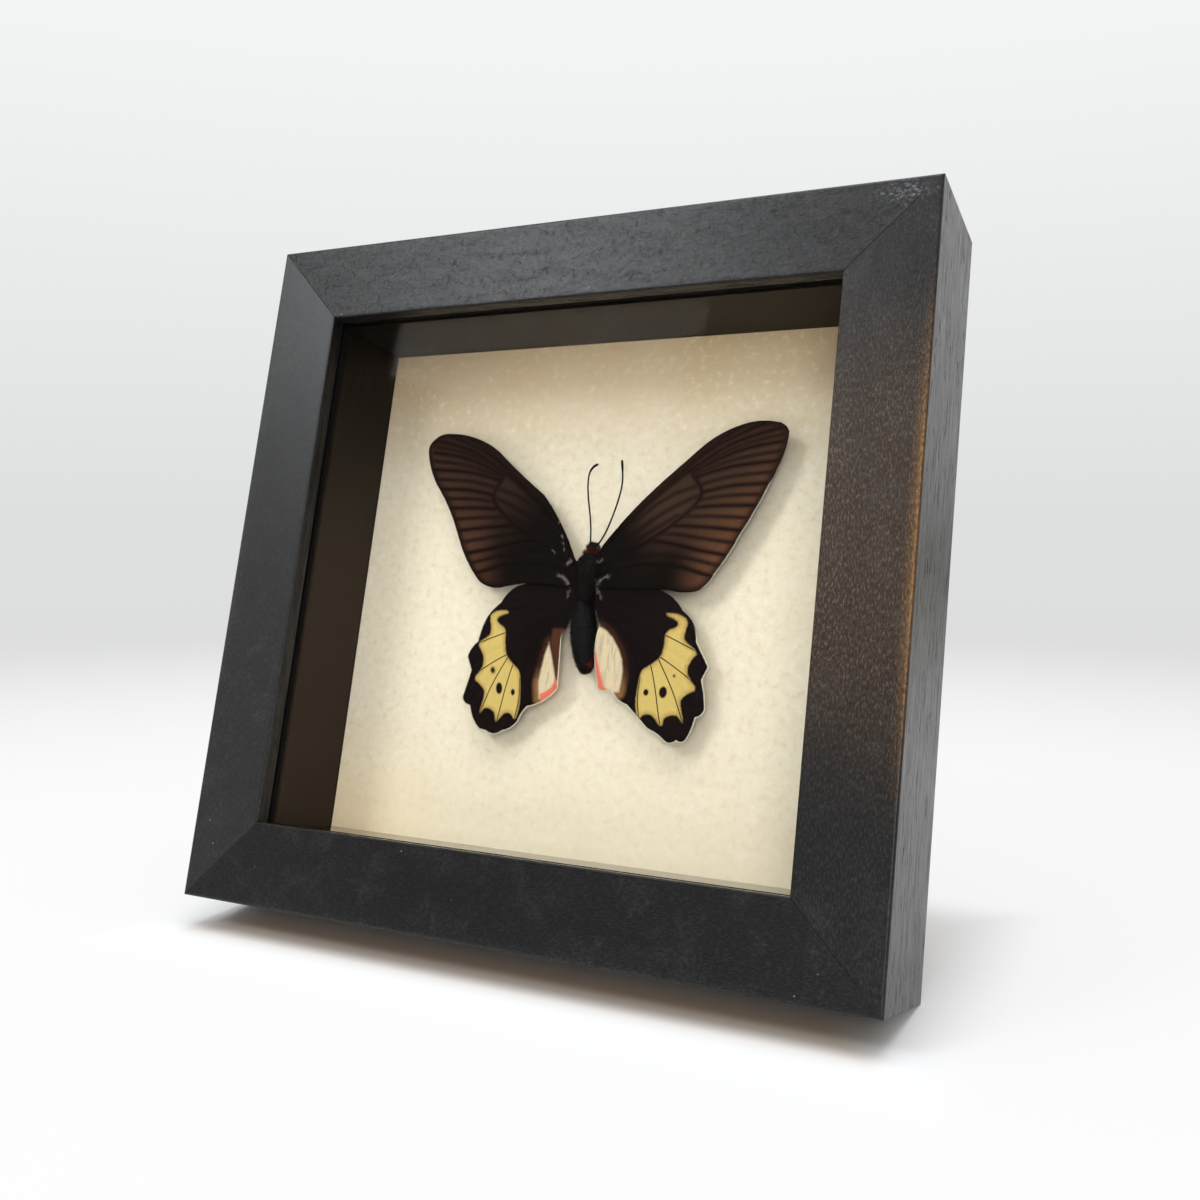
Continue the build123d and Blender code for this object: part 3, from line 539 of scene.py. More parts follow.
def leathercloth():
    """Black leathercloth paper over the strut's board, rubbed at its edges."""
    finish = Finish("strut_black_leathercloth", Specular_IOR_Level=0.35)
    place = finish.in_mm()
    drift = finish.join(finish.cloud(place, 0.8), finish.cloud(place, 0.7), 0.0)
    warped = finish.vector("ADD", place, drift)
    pebbles = finish.cells(warped, 1.1, "SMOOTH_F1")
    wear = finish.cloud(place, 0.12, 4, 0.7)
    aside = finish.part(place, "X")
    up = finish.part(place, "Z")
    half_width = STRUT_FOOT_HALF - (STRUT_FOOT_HALF - STRUT_TOP_HALF) * up / STRUT_TOP
    rim = (half_width - abs(aside)).least(up)
    rubbed = (1 - rim.rise(0.1, 0.8)) * finish.cloud(place, 0.7, 3, 0.6).rise(0.5, 0.66)
    color = finish.layers(
        "171618",
        ("2b2a2c", pebbles.rise(0.2, 0.7)),
        ("3b3835", wear.rise(0.58, 0.75) * 0.5),
        ("6a5a49", rubbed * 0.7),
    )
    return finish.done(color, 0.5 + 0.2 * wear, pebbles, -0.12)


def plated_steel(name, bright, dull, brushed, spotted):
    """Plated steel: brushed lines, dull patches and a few spots of rust or zinc bloom."""
    finish = Finish(name)
    place = finish.in_mm()
    lines = finish.cloud(finish.in_mm((4.0, 0.25, 0.25)), 1.2, 3, 0.6)
    patches = finish.cloud(place, 0.22, 4, 0.6)
    spots = finish.cloud(place, 1.1, 3, 0.7).rise(0.64, 0.72) * spotted
    color = finish.layers(bright, (dull, patches.rise(0.3, 0.75) * 0.6), ("4b3a2c", spots))
    rough = 0.3 + 0.12 * patches + brushed * (lines - 0.5) + 0.3 * spots
    return finish.done(color, rough, lines * 0.7 + patches * 0.3, 0.015, Metallic=1 - 0.7 * spots)


def glass_finish():
    """Clear picture glass: what is behind it shows straight through, and it mirrors the room faintly."""
    finish = Finish("picture_glass")
    across, up = finish.case_places()[:2]
    smears = finish.cloud(finish.join(across * 0.5, up, 0.0), 0.05, 4, 0.6)
    edge = (abs(across) - OPENING[0]).most(abs(up) - OPENING[1]).rise(0.5, 0.7)
    clear = finish.node("ShaderNodeBsdfTransparent", None, {"Color": (0.992, 0.992, 0.988)})
    mirror = finish.node("ShaderNodeBsdfGlossy", None, {"Color": (1, 1, 1), "Roughness": 0.02})
    gloss = finish.node("ShaderNodeFresnel", None, {"IOR": 1.045})
    share = gloss + 0.0012 * smears.rise(0.5, 0.8) + 0.1 * edge
    finish.tree.nodes.remove(finish.surface)
    finish.end("Material Output", finish.node("ShaderNodeMixShader", None, {0: share, 1: clear, 2: mirror}))
    return finish.material


coat(["spacer_top", "spacer_right"], spacer_finish("lacquered_spacer", 0.0))
coat(["spacer_bottom"], spacer_finish("polished_spacer", 0.0, 0.5, 0.08, (1.0, 0.9, 0.76)))
coat(["spacer_left"], spacer_finish("foot_lit_spacer", 0.7))
coat(["glazing_tape"], tape_finish())
coat(["backing_paper"], parchment())
coat(["mount_board"], card_finish())
coat(["back_panel"], hardboard())
coat(["strut_board"], leathercloth())
coat(["glass_pane"], glass_finish())
zinc = plated_steel("zinc_plated_steel", "c9cbcc", "9fa3a6", 0.2, 0.2)
nickel = plated_steel("nickel_plated_steel", "d2cec6", "a8a49c", 0.12, 0.1)
brass = plated_steel("brassed_steel", "c9a763", "9a7b45", 0.12, 0.35)
bare_steel = plated_steel("bare_steel", "8d8f92", "6a6a6c", 0.1, 0.7)
buttons = ["turn_button_" + corner for corner in ("left_upper", "left_lower", "right_upper", "right_lower")]
coat(buttons, zinc)
coat(["hinge_panel_leaf", "hinge_strut_leaf", "hinge_pin"], nickel)
coat(["panel_rivets", "strut_rivets", "hanger_rivet"], nickel)
coat(["hanger_strap", "hanger_ring"], brass)
coat(["corner_nails"], bare_steel)

# ---------------------------------------------------------------- runs of points and pieces
FOLD_POINTS = 12
FAR_AWAY = 99.0


def rounded(points, times=3, closed=False):
    """Cut the corners of a run of points so that it becomes a smooth line."""
    run = np.array(points, float)
    for _ in range(times):
        ahead = np.roll(run, -1, axis=0) if closed else run[1:]
        here = run if closed else run[:-1]
        cut = np.stack([here * 0.75 + ahead * 0.25, here * 0.25 + ahead * 0.75], axis=1)
        cut = cut.reshape(-1, run.shape[1])
        run = cut if closed else np.vstack([run[:1], cut, run[-1:]])
    return run


def even(run, step, closed=False):
    """The same run with its points a step apart."""
    run = np.array(run, float)
    if closed:
        run = np.vstack([run, run[:1]])
    travelled = np.concatenate([[0], np.cumsum(np.linalg.norm(np.diff(run, axis=0), axis=1))])
    count = max(2, round(travelled[-1] / step) + 1)
    stops = np.linspace(0, travelled[-1], count)
    spread = np.stack([np.interp(stops, travelled, run[:, i]) for i in range(run.shape[1])], axis=1)
    return spread[:-1] if closed else spread


def between(first, second):
    """The run half-way between two runs."""
    picked = []
    for run in (first, second):
        line = even(rounded(run), 0.2)
        picked.append(line[np.round(np.linspace(0, 1, FOLD_POINTS) * (len(line) - 1)).astype(int)])
    return (picked[0] + picked[1]) / 2


def away_from(points, runs):
    """Distance in mm from each point to the nearest of some runs."""
    nearest = np.full(len(points), FAR_AWAY)
    for run in runs:
        run = np.array(run, float)
        for start, end in zip(run, run[1:]):
            along = end - start
            share = np.clip((points - start) @ along / max(along @ along, 1e-9), 0, 1)
            gap = np.linalg.norm(points - start - share[:, None] * along, axis=1)
            nearest = np.minimum(nearest, gap)
    return nearest


def inside(points, outline):
    """Distance in mm from each point to a closed outline, positive inside it."""
    closed = np.vstack([outline, outline[:1]])
    within = np.zeros(len(points), bool)
    for (start_x, start_y), (end_x, end_y) in zip(closed, closed[1:]):
        level = (start_y > points[:, 1]) != (end_y > points[:, 1])
        slope = (end_x - start_x) / (end_y - start_y + 1e-12)
        within ^= level & (points[:, 0] < slope * (points[:, 1] - start_y) + start_x)
    return np.where(within, 1, -1) * away_from(points, [closed])


def step_up(values, low, high):
    share = np.clip((values - low) / (high - low), 0, 1)
    return share * share * (3 - 2 * share)


def ripple(points, scale, seed):
    """Smooth noise from -1 to 1 at some points."""
    return np.array([noise.noise(Vector((x * scale, y * scale, seed))) for x, y in points])


def row_faces(rows, sides, first=0):
    """Four-cornered faces between closed rows of places, the first row starting at a first place."""
    faces = []
    for start in range(first, first + (rows - 1) * sides, sides):
        for i in range(sides):
            j = (i + 1) % sides
            faces.append((start + i, start + sides + i, start + sides + j, start + j))
    return faces


def turned(faces):
    """The same faces, looking the other way."""
    return [(face[0], *reversed(face[1:])) for face in faces]


def add_field(piece, name, values):
    layer = piece.data.attributes.new(name, "FLOAT", "POINT")
    layer.data.foreach_set("value", np.array(values, np.float32))


def add_piece(name, places, faces, material, slot, replaced=()):
    """A smooth-shaded mesh piece on the case, from places in the case's millimetres."""
    mesh = bpy.data.meshes.new(name)
    mesh.from_pydata([tuple(at(*place)) for place in places], [], faces)
    mesh.polygons.foreach_set("use_smooth", [True] * len(mesh.polygons))
    mesh.materials.append(material)
    mesh.update()
    piece = bpy.data.objects.new(name, mesh)
    scene.collection.objects.link(piece)
    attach(piece, "case")
    if replaced:
        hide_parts(*replaced)
    return piece


# ---------------------------------------------------------------- wing veins and markings
CELL_TOP = [(6.8, 10.6), (11.2, 15.4), (14.3, 18.7), (19.1, 23.2), (23.0, 26.4), (27.7, 30.1)]
CELL_END = [(27.7, 30.1), (28.7, 28.4), (30.2, 26.7), (31.4, 24.7), (31.0, 22.7), (29.2, 20.3)]
CELL_FOOT = [(29.2, 20.3), (24.6, 16.3), (18.6, 12.2), (12.0, 8.4), (5.0, 4.6)]
RADIAL = [
    [(14.3, 19.2), (17.5, 22.4), (23.0, 27.6), (29.5, 33.6), (36.5, 38.9), (40.0, 40.8)],
    [(22.2, 26.0), (28.7, 32.4), (34.6, 36.6), (41.8, 39.9), (46.0, 41.5)],
    [(27.7, 30.2), (34.1, 34.5), (39.5, 37.4), (46.7, 39.4), (50.6, 40.2)],
    [(28.2, 29.4), (35.0, 32.9), (42.2, 35.5), (50.7, 36.8)],
]
MEDIAN = [
    [(29.0, 28.1), (33.7, 29.6), (39.4, 31.0), (50.6, 32.0)],
    [(31.4, 24.3), (35.4, 25.3), (39.8, 26.1), (48.6, 26.4)],
    [(29.6, 20.6), (32.1, 20.7), (36.2, 21.0), (45.8, 21.0)],
]
CUBITAL = [
    [(24.2, 16.0), (30.5, 15.8), (36.8, 15.3), (43.2, 14.7)],
    [(18.6, 12.2), (24.7, 11.5), (31.1, 10.0), (39.8, 8.6)],
]
ANAL = [(5.0, 2.8), (13.0, 5.9), (22.7, 6.4), (27.8, 5.7), (31.7, 4.6), (36.4, 3.4)]
CELL_LINES = [
    [(29.8, 26.0), (24.1, 24.1), (19.2, 21.2), (13.5, 16.6)],
    [(30.2, 23.4), (25.3, 21.2), (19.6, 18.0), (12.4, 12.6)],
    [(25.6, 18.6), (19.9, 15.2), (12.9, 10.9)],
]
OUTER_VEINS = RADIAL + MEDIAN + CUBITAL + [ANAL]
FOREWING_VEINS = [CELL_TOP, CELL_END, CELL_FOOT] + OUTER_VEINS
FOREWING_FOLDS = CELL_LINES + [between(one, two) for one, two in zip(OUTER_VEINS[2:], OUTER_VEINS[3:])]
WING_ROOT = (4.0, 5.0)
COSTA = [(4.0, 8.0), (5.8, 10.7), (20.9, 27.6), (30.4, 36.2), (39.8, 41.3), (48.6, 41.8)]

HINDWING_VEINS = [
    [(8.0, -3.0), (17.0, -8.0), (25.2, -11.0), (34.2, -14.9)],
    [(19.0, -14.2), (24.6, -16.4), (32.0, -20.9), (35.2, -23.4)],
    [(23.4, -15.9), (28.4, -23.9), (31.0, -29.6), (32.8, -34.0)],
    [(20.6, -15.2), (22.3, -18.5), (24.2, -24.6), (25.3, -29.5), (27.0, -35.6)],
    [(16.0, -12.6), (20.0, -19.6), (19.4, -26.6), (20.6, -31.6)],
    [(7.5, -2.0), (14.0, -2.6), (20.4, -4.0), (28.6, -6.0)],
    [(7.6, -4.6), (12.0, -9.0), (16.0, -12.6), (20.6, -15.2)],
]
HINDWING_FOLDS = [
    between(HINDWING_VEINS[first], HINDWING_VEINS[second])
    for first, second in ((0, 1), (1, 2), (3, 4), (5, 0))
]
YELLOW_BAND = [
    (24.6, -5.9), (27.0, -5.8), (28.8, -6.2), (30.8, -7.4), (30.5, -9.1), (30.1, -10.9), (30.3, -12.5),
    (34.2, -15.0), (32.9, -16.4), (31.9, -18.0), (31.8, -19.7), (32.3, -21.1), (34.7, -23.9), (32.7, -24.7),
    (31.2, -25.8), (30.6, -27.2), (32.1, -32.1), (31.1, -30.7), (29.9, -30.1), (28.2, -30.4), (26.9, -31.1),
    (26.6, -33.4), (25.5, -32.1), (24.4, -30.9), (23.0, -30.2), (21.5, -30.6), (20.6, -31.8), (19.7, -29.9),
    (19.3, -27.4), (19.5, -23.9), (19.9, -20.1), (22.2, -18.7), (24.3, -17.2), (25.2, -15.4), (25.5, -13.1),
    (25.4, -10.9), (26.2, -9.9), (28.0, -9.3), (28.7, -8.3), (28.2, -7.4), (26.6, -6.7),
]
YELLOW_DOTS = [(21.7, -25.3, 0.65, 0.8), (26.2, -25.0, 1.0, 1.4), (28.7, -20.9, 0.35, 0.4)]
WHITE_RIGHT = [
    (7.5, -9.7), (9.3, -10.5), (11.2, -12.2), (13.2, -14.9), (14.5, -17.6), (15.0, -20.6), (14.9, -23.2),
    (14.6, -25.9), (12.3, -25.9), (10.3, -25.4), (6.8, -25.6), (6.4, -11.4),
]
CORAL_RIGHT = [
    (6.0, -15.4), (7.4, -16.2), (8.4, -19.0), (9.7, -22.5), (10.5, -24.8), (12.2, -25.2), (11.9, -26.4),
    (6.8, -26.4),
]
WHITE_LEFT = [
    (-6.4, -14.2), (-5.2, -17.6), (-3.9, -21.6), (-3.0, -24.1), (-2.9, -26.6), (-5.6, -28.6), (-7.6, -28.9),
    (-8.3, -24.5), (-7.3, -17.6),
]
CORAL_LEFT = [
    (-1.6, -23.4), (-3.4, -23.8), (-4.4, -25.6), (-6.1, -26.9), (-7.6, -27.5), (-6.6, -30.0), (-1.6, -28.4),
]
# brown of the left hindwing's turned-over flap and a painted shadow between it and the abdomen
FLAP_AND_SHADOW_LEFT = [
    (-6.0, -10.5), (-6.2, -14.0), (-5.0, -17.6), (-3.6, -21.8), (-2.7, -24.4), (-1.4, -24.6), (-1.4, -10.5),
]
SCUFFS_LEFT = [[(-5.0, 9.4), (-6.2, 13.6)], [(-8.4, 9.4), (-7.4, 8.6)], [(-7.0, 17.4), (-7.4, 16.4)]]
ROLLED_EDGES = [[(7.4, -10.0), (7.4, -16.0), (9.4, -25.0)], [(-2.6, -12.0), (-2.7, -25.0)]]

# How a mirrored right wing is turned and shifted to make the left one
FORE_TO_LEFT = (np.array([[0.991, -0.117], [0.015, 1.008]]), np.array([5.799, 0.147]))
HIND_TO_LEFT = (np.array([[0.918, -0.058], [-0.097, 1.047]]), np.array([3.199, -3.132]))


def mirrored(points, setting):
    """Points of a right wing as they lie on the left wing."""
    turn, shift = setting
    flipped = np.array(points, float) * (-1, 1)
    return flipped @ turn.T + shift


def unmirrored(points, setting):
    """Points of a left wing as they lie on the right wing."""
    turn, shift = setting
    return (points - shift) @ np.linalg.inv(turn).T * (-1, 1)


def wing_edge(node):
    """The edge of a CAD wing's flat back, in the case's millimetres, and its depth there."""
    mesh = frame["nodes"][node].data
    places = [in_case(vertex.co) for vertex in mesh.vertices]
    deepest = max(place.z for place in places)
    edges = set()
    for face in mesh.polygons:
        if all(deepest - places[i].z < 0.01 for i in face.vertices):
            corners = [(round(places[i].x, 3), round(places[i].y, 3)) for i in face.vertices]
            for start, end in zip(corners, corners[1:] + corners[:1]):
                if (end, start) in edges:
                    edges.remove((end, start))
                else:
                    edges.add((start, end))
    follow = dict(sorted(edges))
    loops = []
    while follow:
        loop = [min(follow)]
        while loop[-1] in follow:
            loop.append(follow.pop(loop[-1]))
        loops.append(loop[:-1])
    return np.array(max(loops, key=len)), deepest


# ---------------------------------------------------------------- wing skins
RIM_STEP = 0.32
SKIN_STEP = 0.5
VEIN_STEP = 0.45
VEIN_SIDE = 0.2
VEIN_CLEAR = 0.42              # how far the grid's points stay from a vein
RIM_CLEAR = 0.16
JITTER = 0.12
SKIN_THICK = 0.10
SKIN_RAISED = 0.2              # how far the skin lies in front of the CAD wing's flat back
VEIN_HEIGHT = 0.13
VEIN_WIDTH = 0.17
FOLD_DEPTH = 0.07
FOLD_WIDTH = 0.4


def skin_points(edge, veins, seed):
    """Points over a wing: close beside its veins, and in an uneven grid elsewhere."""
    dice = random.Random(seed)
    rows = []
    for vein in veins:
        line = even(rounded(vein, 2), VEIN_STEP)
        heading = np.gradient(line, axis=0)
        heading /= np.linalg.norm(heading, axis=1)[:, None] + 1e-9
        beside = np.stack([-heading[:, 1], heading[:, 0]], axis=1) * VEIN_SIDE
        rows += [line, line + beside, line - beside]
    rows = np.vstack(rows)
    low = edge.min(axis=0)
    high = edge.max(axis=0)
    row_step = SKIN_STEP * 0.866
    grid = []
    for j in range(int((high[1] - low[1]) / row_step) + 1):
        for i in range(int((high[0] - low[0]) / SKIN_STEP) + 1):
            across = low[0] + (i + 0.5 * (j % 2)) * SKIN_STEP + dice.uniform(-JITTER, JITTER)
            grid.append((across, low[1] + j * row_step + dice.uniform(-JITTER, JITTER)))
    grid = np.array(grid)
    grid = grid[away_from(grid, [rounded(vein, 2) for vein in veins]) > VEIN_CLEAR]
    points = np.vstack([rows, grid])
    return points[inside(points, edge) > RIM_CLEAR]


def make_wing(wing, side, seed, setting, veins, folds, camber, fields, material):
    """A thin closed skin in a CAD wing's place, with raised veins, pleats and its markings as fields."""
    if side == "left":
        veins = [mirrored(vein, setting) for vein in veins]
        folds = [mirrored(fold, setting) for fold in folds]
    outline, deepest = wing_edge(wing + "_" + side)
    edge = even(outline, RIM_STEP, closed=True)
    frayed = 0.06 * ripple(edge, 1.4, seed) + 0.05 * ripple(edge, 4.0, seed + 5)
    heading = np.roll(edge, -1, axis=0) - np.roll(edge, 1, axis=0)
    heading /= np.linalg.norm(heading, axis=1)[:, None] + 1e-9
    edge = edge + np.stack([-heading[:, 1], heading[:, 0]], axis=1) * frayed[:, None]
    points = np.vstack([edge, skin_points(edge, veins, seed)])
    rim = list(range(len(edge)))
    found = delaunay_2d_cdt([Vector(point) for point in points], [], [rim], 1, 1e-5)
    points = np.array([tuple(vertex) for vertex in found[0]])
    drawn = points if side == "right" else unmirrored(points, setting)
    vein_gap = away_from(points, [rounded(vein, 2) for vein in veins])
    fold_gap = away_from(points, folds)
    margin = np.maximum(inside(points, edge), 0)
    lift = VEIN_HEIGHT * np.exp(-((vein_gap / VEIN_WIDTH) ** 2))
    lift -= FOLD_DEPTH * np.exp(-((fold_gap / FOLD_WIDTH) ** 2))
    lift += 0.05 * step_up(np.minimum(vein_gap, fold_gap), 0.1, 0.9) + 0.06 * ripple(points, 0.12, seed)
    lift += camber(points, drawn)
    front = [(across, up, deepest - SKIN_RAISED - rise) for (across, up), rise in zip(points, lift)]
    back = [(across, up, depth + SKIN_THICK) for across, up, depth in front]
    faces = []
    spans = {}
    count = len(points)
    for a, b, c in found[2]:
        one = points[b] - points[a]
        two = points[c] - points[a]
        if one[0] * two[1] < one[1] * two[0]:
            b, c = c, b
        faces += [(a, b, c), (count + c, count + b, count + a)]
        for start, end in ((a, b), (b, c), (c, a)):
            if not spans.pop((end, start), None):
                spans[(start, end)] = True
    faces += [(end, start, count + start, count + end) for start, end in spans]
    name = wing + "_skin_" + side
    piece = add_piece(name, front + back, faces, material, "wing_scales", [wing + "_" + side])
    values = {"vein": vein_gap, "fold": fold_gap, "margin": margin, **fields(points, drawn, side)}
    for field, numbers in values.items():
        add_field(piece, field, np.concatenate([numbers, numbers]))


# Both kinds of markings and camber take a wing's points twice: where they are, and as the right
# wing's points, which are the drawn ones.
def forewing_fields(points, drawn, side):
    """Where a forewing's brown rays begin and grow warm, with painted shade dimming the left wing's rays, its pale
    fringe and its scuffs.
    """
    root_gap = np.linalg.norm(drawn - WING_ROOT, axis=1)
    costa_gap = away_from(drawn, [COSTA])
    foot_share = step_up(drawn[:, 0] * 0.55 - drawn[:, 1] * 0.83, -2, 9)
    started = step_up(root_gap, 10, 24) * (1 - foot_share) + step_up(root_gap, 20, 33) * foot_share
    if side == "right":
        fringe = step_up(28 - drawn[:, 1], 0, 3) * step_up(drawn[:, 0], 33, 35)
        scuffs = np.full(len(points), FAR_AWAY)
    else:
        # the left wing's rays begin further out, and painted shade dims them to 0.58
        started = started * step_up(root_gap, 15, 36) * 0.58
        fringe = np.zeros(len(points))
        scuffs = away_from(points, SCUFFS_LEFT)
    return {
        "bloom": started * (0.7 + 0.3 * step_up(costa_gap, -0.6, 2.4)),
        "warmth": step_up(drawn[:, 0] * 0.6 - drawn[:, 1] * 0.5, 6, 24),
        "fringe": fringe,
        "scuffs": scuffs,
    }


def hindwing_fields(points, drawn, side):
    """Where a hindwing's yellow, white and coral lie, with the left wing's turned-over flap, whose brown also
    paints the shadow between it and the abdomen.
    """
    dots = np.full(len(points), -FAR_AWAY)
    for across, up, wide, tall in YELLOW_DOTS:
        size = 2.0 if side == "left" and across > 28 else 1.0
        reach = np.hypot((drawn[:, 0] - across) / (wide * size), (drawn[:, 1] - up) / (tall * size))
        dots = np.maximum(dots, (1 - reach) * wide)
    flap = inside(points, np.array(FLAP_AND_SHADOW_LEFT)) if side == "left" else np.full(len(points), -FAR_AWAY)
    return {
        "yellow": inside(drawn, rounded(YELLOW_BAND, 1, closed=True)),
        "dots": dots,
        "white": inside(points, np.array(WHITE_RIGHT if side == "right" else WHITE_LEFT)),
        "coral": inside(points, np.array(CORAL_RIGHT if side == "right" else CORAL_LEFT)),
        "flap": flap,
        "fringe": step_up(-8 - drawn[:, 1], 0, 4),
        "outer": step_up(drawn[:, 0], 12, 30),
        "low": step_up(-points[:, 1], 19, 26),
    }


def scaled_wing(name):
    """A finish with the flat places, the fine scales and the noise that every wing's surface needs."""
    finish = Finish(name, Specular_IOR_Level=0.02)
    finish.flat = finish.join(*finish.case_places()[:2], 0.0)
    scales = finish.cells(finish.flat, 7.0)
    dusting = finish.cloud(finish.flat, 1.1, 4, 0.65)
    fine = finish.cloud(finish.flat, 4.5, 2, 0.6)
    return finish, scales, dusting, fine


def forewing_finish():
    """Velvet black with brown rays between veins and folds."""
    finish, scales, dusting, fine = scaled_wing("forewing_scales")
    vein = finish.field("vein") + 0.25 * (fine - 0.5)
    fold = finish.field("fold") + 0.25 * (fine - 0.5)
    margin = finish.field("margin")
    bloom = finish.field("bloom")
    rays = vein.rise(0.15, 1.15) * fold.rise(0.12, 0.95) * bloom * margin.rise(0.2, 2.4)
    ray_color = finish.mix(finish.field("warmth"), "453529", "80543a")
    fringe_mask = (1 - (margin + 0.2 * (fine - 0.5)).rise(0.14, 0.28)) * finish.field("fringe")
    scuff_mask = (1 - finish.field("scuffs").rise(0.1, 0.45)) * dusting.rise(0.5, 0.6)
    color = finish.layers(
        "110d0b",
        ("30201a", bloom * 0.75),
        (ray_color, rays * (0.62 + 0.7 * (dusting - 0.5))),
        ("050303", (1 - vein.rise(0.02, 0.25)) * 0.6),
        ("0b0706", scales.rise(0.35, 0.75) * 0.25),
        ("8f8b84", scuff_mask * 0.7),
        ("c4c0b0", fringe_mask * 0.85),
    )
    return finish.done(color, 0.62 + 0.15 * dusting, scales * 0.4 + dusting * 0.6, 0.04)


def hindwing_finish():
    """Velvet black with a pale yellow band, a white fold and coral at the inner edge, and a brown flap on the left
    that also paints a shadow.
    """
    finish, scales, dusting, fine = scaled_wing("hindwing_scales")
    frayed = 0.7 * (fine - 0.5) + 0.5 * (dusting - 0.5)
    vein = finish.field("vein")
    fold = finish.field("fold")
    margin = finish.field("margin")
    white = finish.field("white")
    yellow_mask = (finish.field("yellow") + frayed).rise(-0.38, 0.34)
    dot_mask = (finish.field("dots") + 0.3 * frayed).rise(-0.24, 0.18)
    vein_mask = (1 - vein.rise(0.07, 0.2)) * yellow_mask
    white_mask = (white + 0.8 * frayed).rise(-0.3, 0.5)
    coral_mask = (finish.field("coral") + frayed).rise(-0.3, 0.5)
    flap_and_shadow_mask = (finish.field("flap") + frayed).rise(-0.3, 0.8)
    low = finish.field("low")
    tan_mask = (1 - abs(white + 0.3).rise(0.1, 1.9)) * (1 - white_mask) * (0.45 + 0.55 * low)
    fringe_mask = (1 - (margin + 0.25 * (fine - 0.5)).rise(0.18, 0.34)) * finish.field("fringe")
    silk = finish.cloud(finish.vector("MULTIPLY", finish.flat, (1.0, 0.16, 1.0)), 0.9, 3, 0.55, 0.8)
    color = finish.layers(
        "120d0c",
        ("24171a", finish.field("outer") * 0.4 * dusting.rise(0.3, 0.7)),
        ("5e3a28", tan_mask * 0.9 * dusting.rise(0.2, 0.6)),
        ("a57a4c", tan_mask * low * 0.7 * fine.rise(0.3, 0.6)),
        ("cdb46a", yellow_mask),
        ("a98a4a", yellow_mask * (1 - finish.field("yellow").rise(0.2, 1.3)) * 0.55),
        ("c9b062", yellow_mask * (1 - fold.rise(0.1, 0.7)) * 0.35),
        ("dac782", yellow_mask * dusting.rise(0.5, 0.75) * 0.4),
        ("1a1010", dot_mask.most(vein_mask)),
        # brown flap, part of it a painted shadow towards the abdomen
        ("4c2e22", flap_and_shadow_mask),
        ("d4c3a0", white_mask),
        ("9a9083", white_mask * silk.rise(0.46, 0.72) * 0.75),
        ("d6705a", coral_mask),
        ("e9e2c4", fringe_mask * 0.85),
        ("0b0706", scales.rise(0.4, 0.8) * 0.15),
    )
    return finish.done(color, 0.6 + 0.15 * dusting, scales * 0.4 + dusting * 0.6, 0.04)


def forewing_camber(points, drawn):
    """A slow wave that grows towards the wing's tip."""
    wave = 0.25 * step_up(drawn[:, 0], 8, 50) * np.sin(drawn[:, 1] * 0.09)
    return wave + 0.08 * ripple(points, 0.05, 3)


def hindwing_camber(points, drawn):
    """A droop towards the foot, and a roll along the inner edge."""
    rolled = away_from(points, ROLLED_EDGES)
    curl = 0.5 * np.exp(-((rolled / 0.9) ** 2)) * step_up(-points[:, 1], 6, 12)
    return curl - 0.12 * step_up(-points[:, 1], 10, 34) + 0.12 * ripple(points, 0.09, 8)


WINGS = [                      # wing, seed, setting on the left, veins, folds, camber, markings, finish
    ("forewing", 11, FORE_TO_LEFT, FOREWING_VEINS, FOREWING_FOLDS,
     forewing_camber, forewing_fields, forewing_finish()),
    ("hindwing", 13, HIND_TO_LEFT, HINDWING_VEINS, HINDWING_FOLDS,
     hindwing_camber, hindwing_fields, hindwing_finish()),
]
for wing, seed, *pattern in WINGS:
    make_wing(wing, "right", seed, *pattern)
    make_wing(wing, "left", seed + 1, *pattern)

# ---------------------------------------------------------------- the body and its fur
TUBE_SIDES = 40
FUR_SIDES = 3


def body_line(node):
    """A CAD body part's own line: its rear end, its front end and its radius, in the case's millimetres."""
    mesh = frame["nodes"][node].data
    places = np.array([tuple(in_case(vertex.co)) for vertex in mesh.vertices])
    flat = places[:, :2] - places[:, :2].mean(axis=0)
    way = np.linalg.eigh(flat.T @ flat)[1][:, 1]
    if way[1] < 0:
        way = -way
    along = flat @ way
    side = flat @ np.array([-way[1], way[0]])
    middle = places[:, :2].mean(axis=0) + np.array([-way[1], way[0]]) * (side.max() + side.min()) / 2
    depth = (places[:, 2].max() + places[:, 2].min()) / 2
    rear = Vector((*(middle + way * along.min()), depth))
    front = Vector((*(middle + way * along.max()), depth))
    return rear, front, (places[:, 2].max() - places[:, 2].min()) / 2


def tube(rings, sides=TUBE_SIDES):
    """Places and faces of a closed skin over rings of (middle, heading, radius across, radius deep)."""
    places = []
    for middle, heading, wide, deep in rings:
        across = heading.cross(Vector((0, 0, 1))).normalized()
        for i in range(sides):
            turn = 2 * math.pi * i / sides
            places.append(middle + across * wide * math.cos(turn) + Vector((0, 0, deep * math.sin(turn))))
    faces = row_faces(len(rings), sides)
    places += [rings[0][0], rings[-1][0]]
    last = (len(rings) - 1) * sides
    for i in range(sides):
        faces.append((len(places) - 2, i, (i + 1) % sides))
        faces.append((len(places) - 1, last + (i + 1) % sides, last + i))
    return places, faces


def profile_at(profile, share):
    return float(np.interp(share, [stop[0] for stop in profile], [stop[1] for stop in profile]))


